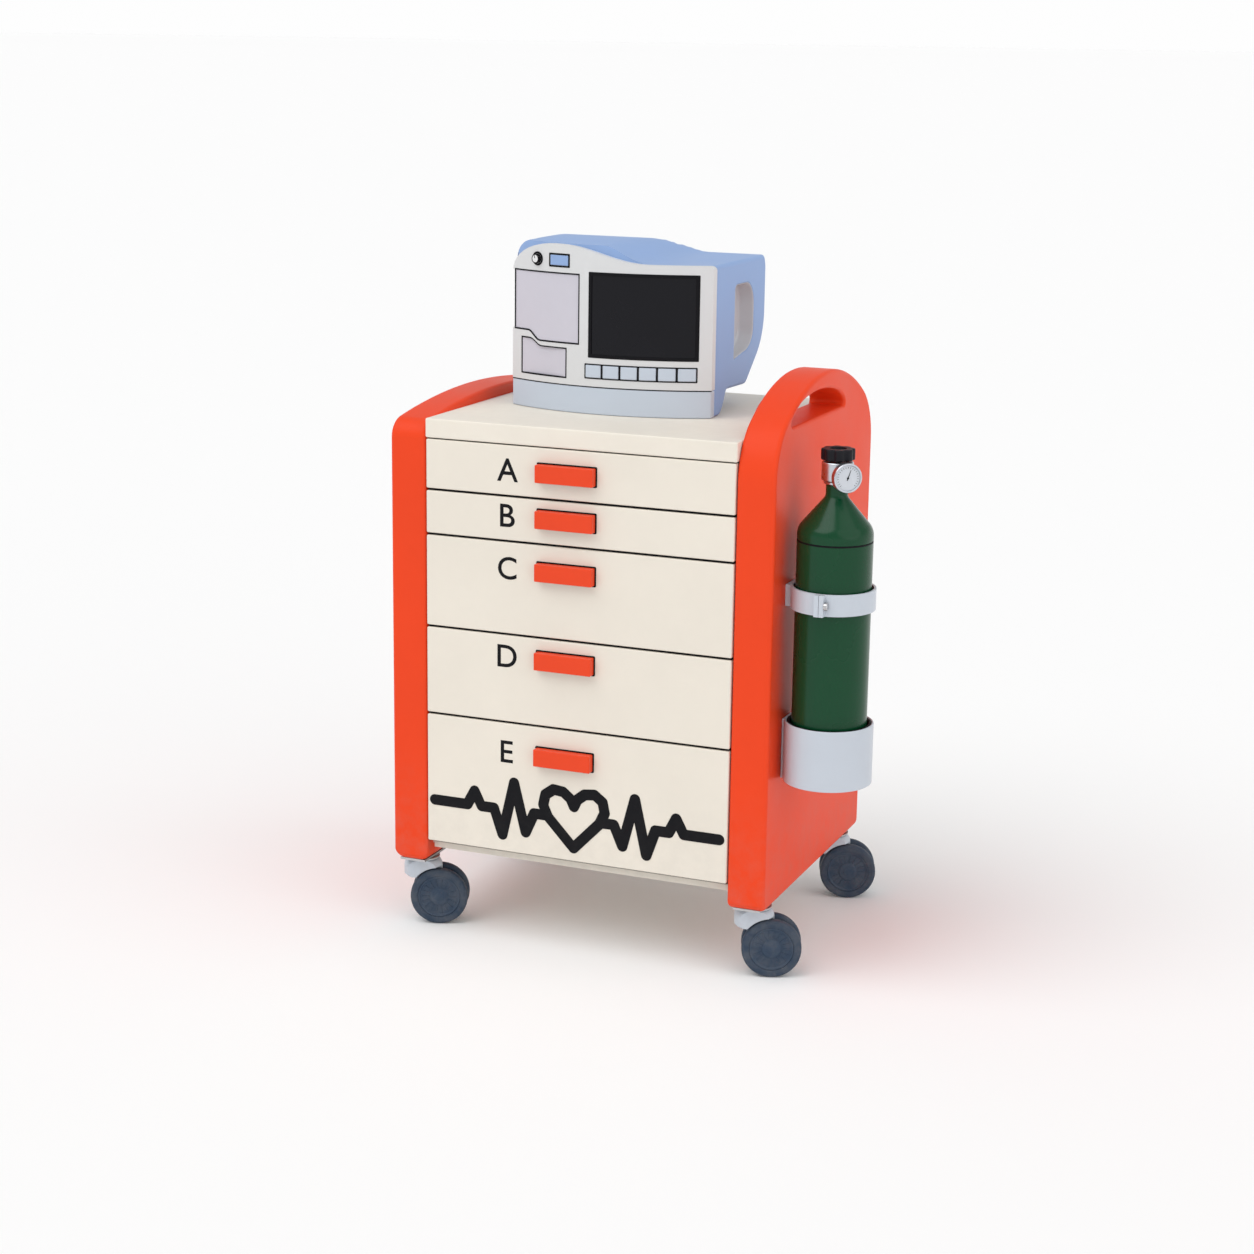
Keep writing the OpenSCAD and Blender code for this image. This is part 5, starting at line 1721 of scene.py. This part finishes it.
class CART_OT_stage(bpy.types.Operator):
    """Pale floor, soft lights and camera"""

    bl_idname = "cart.stage"
    bl_label = "Studio Stage"

    def execute(self, context):
        settings = look("cart_stage")
        self.floor(settings)
        self.lights(settings)
        self.camera(settings)
        return {"FINISHED"}

    def floor(self, settings):
        size = 400.0
        mesh = bpy.data.meshes.new("studio_floor")
        mesh.from_pydata(
            [(-size, -size, 0), (size, -size, 0), (size, size, 0), (-size, size, 0)], [], [(0, 1, 2, 3)]
        )
        material = bpy.data.materials.new("studio_floor")
        material.use_nodes = True
        shader = material.node_tree.nodes["Principled BSDF"]
        shader.inputs["Base Color"].default_value = (*settings.floor, 1.0)
        shader.inputs["Roughness"].default_value = 1.0
        shader.inputs["Specular IOR Level"].default_value = 0.0
        mesh.materials.append(material)
        obj = bpy.data.objects.new("studio_floor", mesh)
        bpy.context.scene.collection.objects.link(obj)

    def lights(self, settings):
        """An even pale surround, brightest at the horizon, and two wide soft suns"""
        scene = bpy.context.scene
        world = bpy.data.worlds.new("studio")
        world.use_nodes = True
        tree = world.node_tree
        ray = add(tree, "ShaderNodeTexCoord").outputs["Generated"]
        rise = add(tree, "ShaderNodeSeparateXYZ", {"Vector": ray}).outputs["Z"]
        level = add(
            tree, "ShaderNodeMapRange", {"Value": rise, "From Min": 0.06, "From Max": 0.30,
            "To Min": settings.horizon, "To Max": settings.sky}
        )
        tree.links.new(level.outputs[0], tree.nodes["Background"].inputs["Strength"])
        tree.nodes["Background"].inputs["Color"].default_value = (1.0, 1.0, 1.0, 1.0)
        scene.world = world
        scene.view_settings.view_transform = "Standard"
        suns = (
            ("key", settings.key, 50, (-0.42, -0.52, 1.0)), ("fill", settings.fill, 70, (0.9, -0.35, 0.7))
        )
        for name, power, spread, towards in suns:
            lamp = bpy.data.lights.new(name, "SUN")
            lamp.energy = power
            lamp.angle = math.radians(spread)
            obj = bpy.data.objects.new(name, lamp)
            obj.rotation_euler = Vector(towards).to_track_quat("Z", "Y").to_euler()
            scene.collection.objects.link(obj)

    def camera(self, settings):
        a, e, roll = settings.azimuth, settings.elevation, settings.roll
        back = Vector((math.sin(a) * math.cos(e), -math.cos(a) * math.cos(e), math.sin(e)))
        level = Vector((math.cos(a), math.sin(a), 0))
        upright = back.cross(level)
        right = level * math.cos(roll) + upright * math.sin(roll)
        above = upright * math.cos(roll) - level * math.sin(roll)
        aim = Vector((middle("worktop").x + 93 * MM, low("worktop").y, 592 * MM))
        data = bpy.data.cameras.new("camera")
        data.lens = settings.lens
        data.sensor_width = 36.0
        data.clip_end = 2000.0
        obj = bpy.data.objects.new("camera", data)
        matrix = Matrix((right, above, back)).transposed().to_4x4()
        matrix.translation = aim + back * settings.distance
        obj.matrix_world = matrix
        bpy.context.scene.collection.objects.link(obj)
        bpy.context.scene.camera = obj


# ---------- panel, registration and run ----------

STEPS = (
    CART_OT_stage, CART_OT_side_panels, CART_OT_cabinet, CART_OT_drawers, CART_OT_marks, CART_OT_fasteners,
    CART_OT_casters, CART_OT_defib_case, CART_OT_defib_front, CART_OT_oxygen, CART_OT_holders,
)
LOOKS = (
    ("cart_cabinet", CabinetLook), ("cart_defib", DefibLook), ("cart_gas", GasLook),
    ("cart_stage", StageLook)
)
trees = {}


class CART_PT_panel(bpy.types.Panel):
    """Lists the cart's settings and the operators that build it"""

    bl_idname = "CART_PT_panel"
    bl_label = "Emergency Cart"
    bl_space_type = "VIEW_3D"
    bl_region_type = "UI"
    bl_category = "Emergency Cart"

    def draw(self, context):
        for step in STEPS:
            self.layout.operator(step.bl_idname)
        for name, group in LOOKS:
            box = self.layout.box()
            for setting in group.__annotations__:
                box.prop(getattr(context.scene, name), setting)


def register():
    for name, group in LOOKS:
        bpy.utils.register_class(group)
        setattr(bpy.types.Scene, name, PointerProperty(type=group))
    for kind in (*STEPS, CART_PT_panel):
        bpy.utils.register_class(kind)


def unregister():
    for kind in (CART_PT_panel, *reversed(STEPS)):
        bpy.utils.unregister_class(kind)
    for name, group in LOOKS:
        delattr(bpy.types.Scene, name)
        bpy.utils.unregister_class(group)


def main():
    register()
    trees["ring"], trees["row"] = ring_tree(), row_tree()
    for step in STEPS:
        area, name = step.bl_idname.split(".")
        getattr(getattr(bpy.ops, area), name)()


if __name__ == "__main__":
    main()
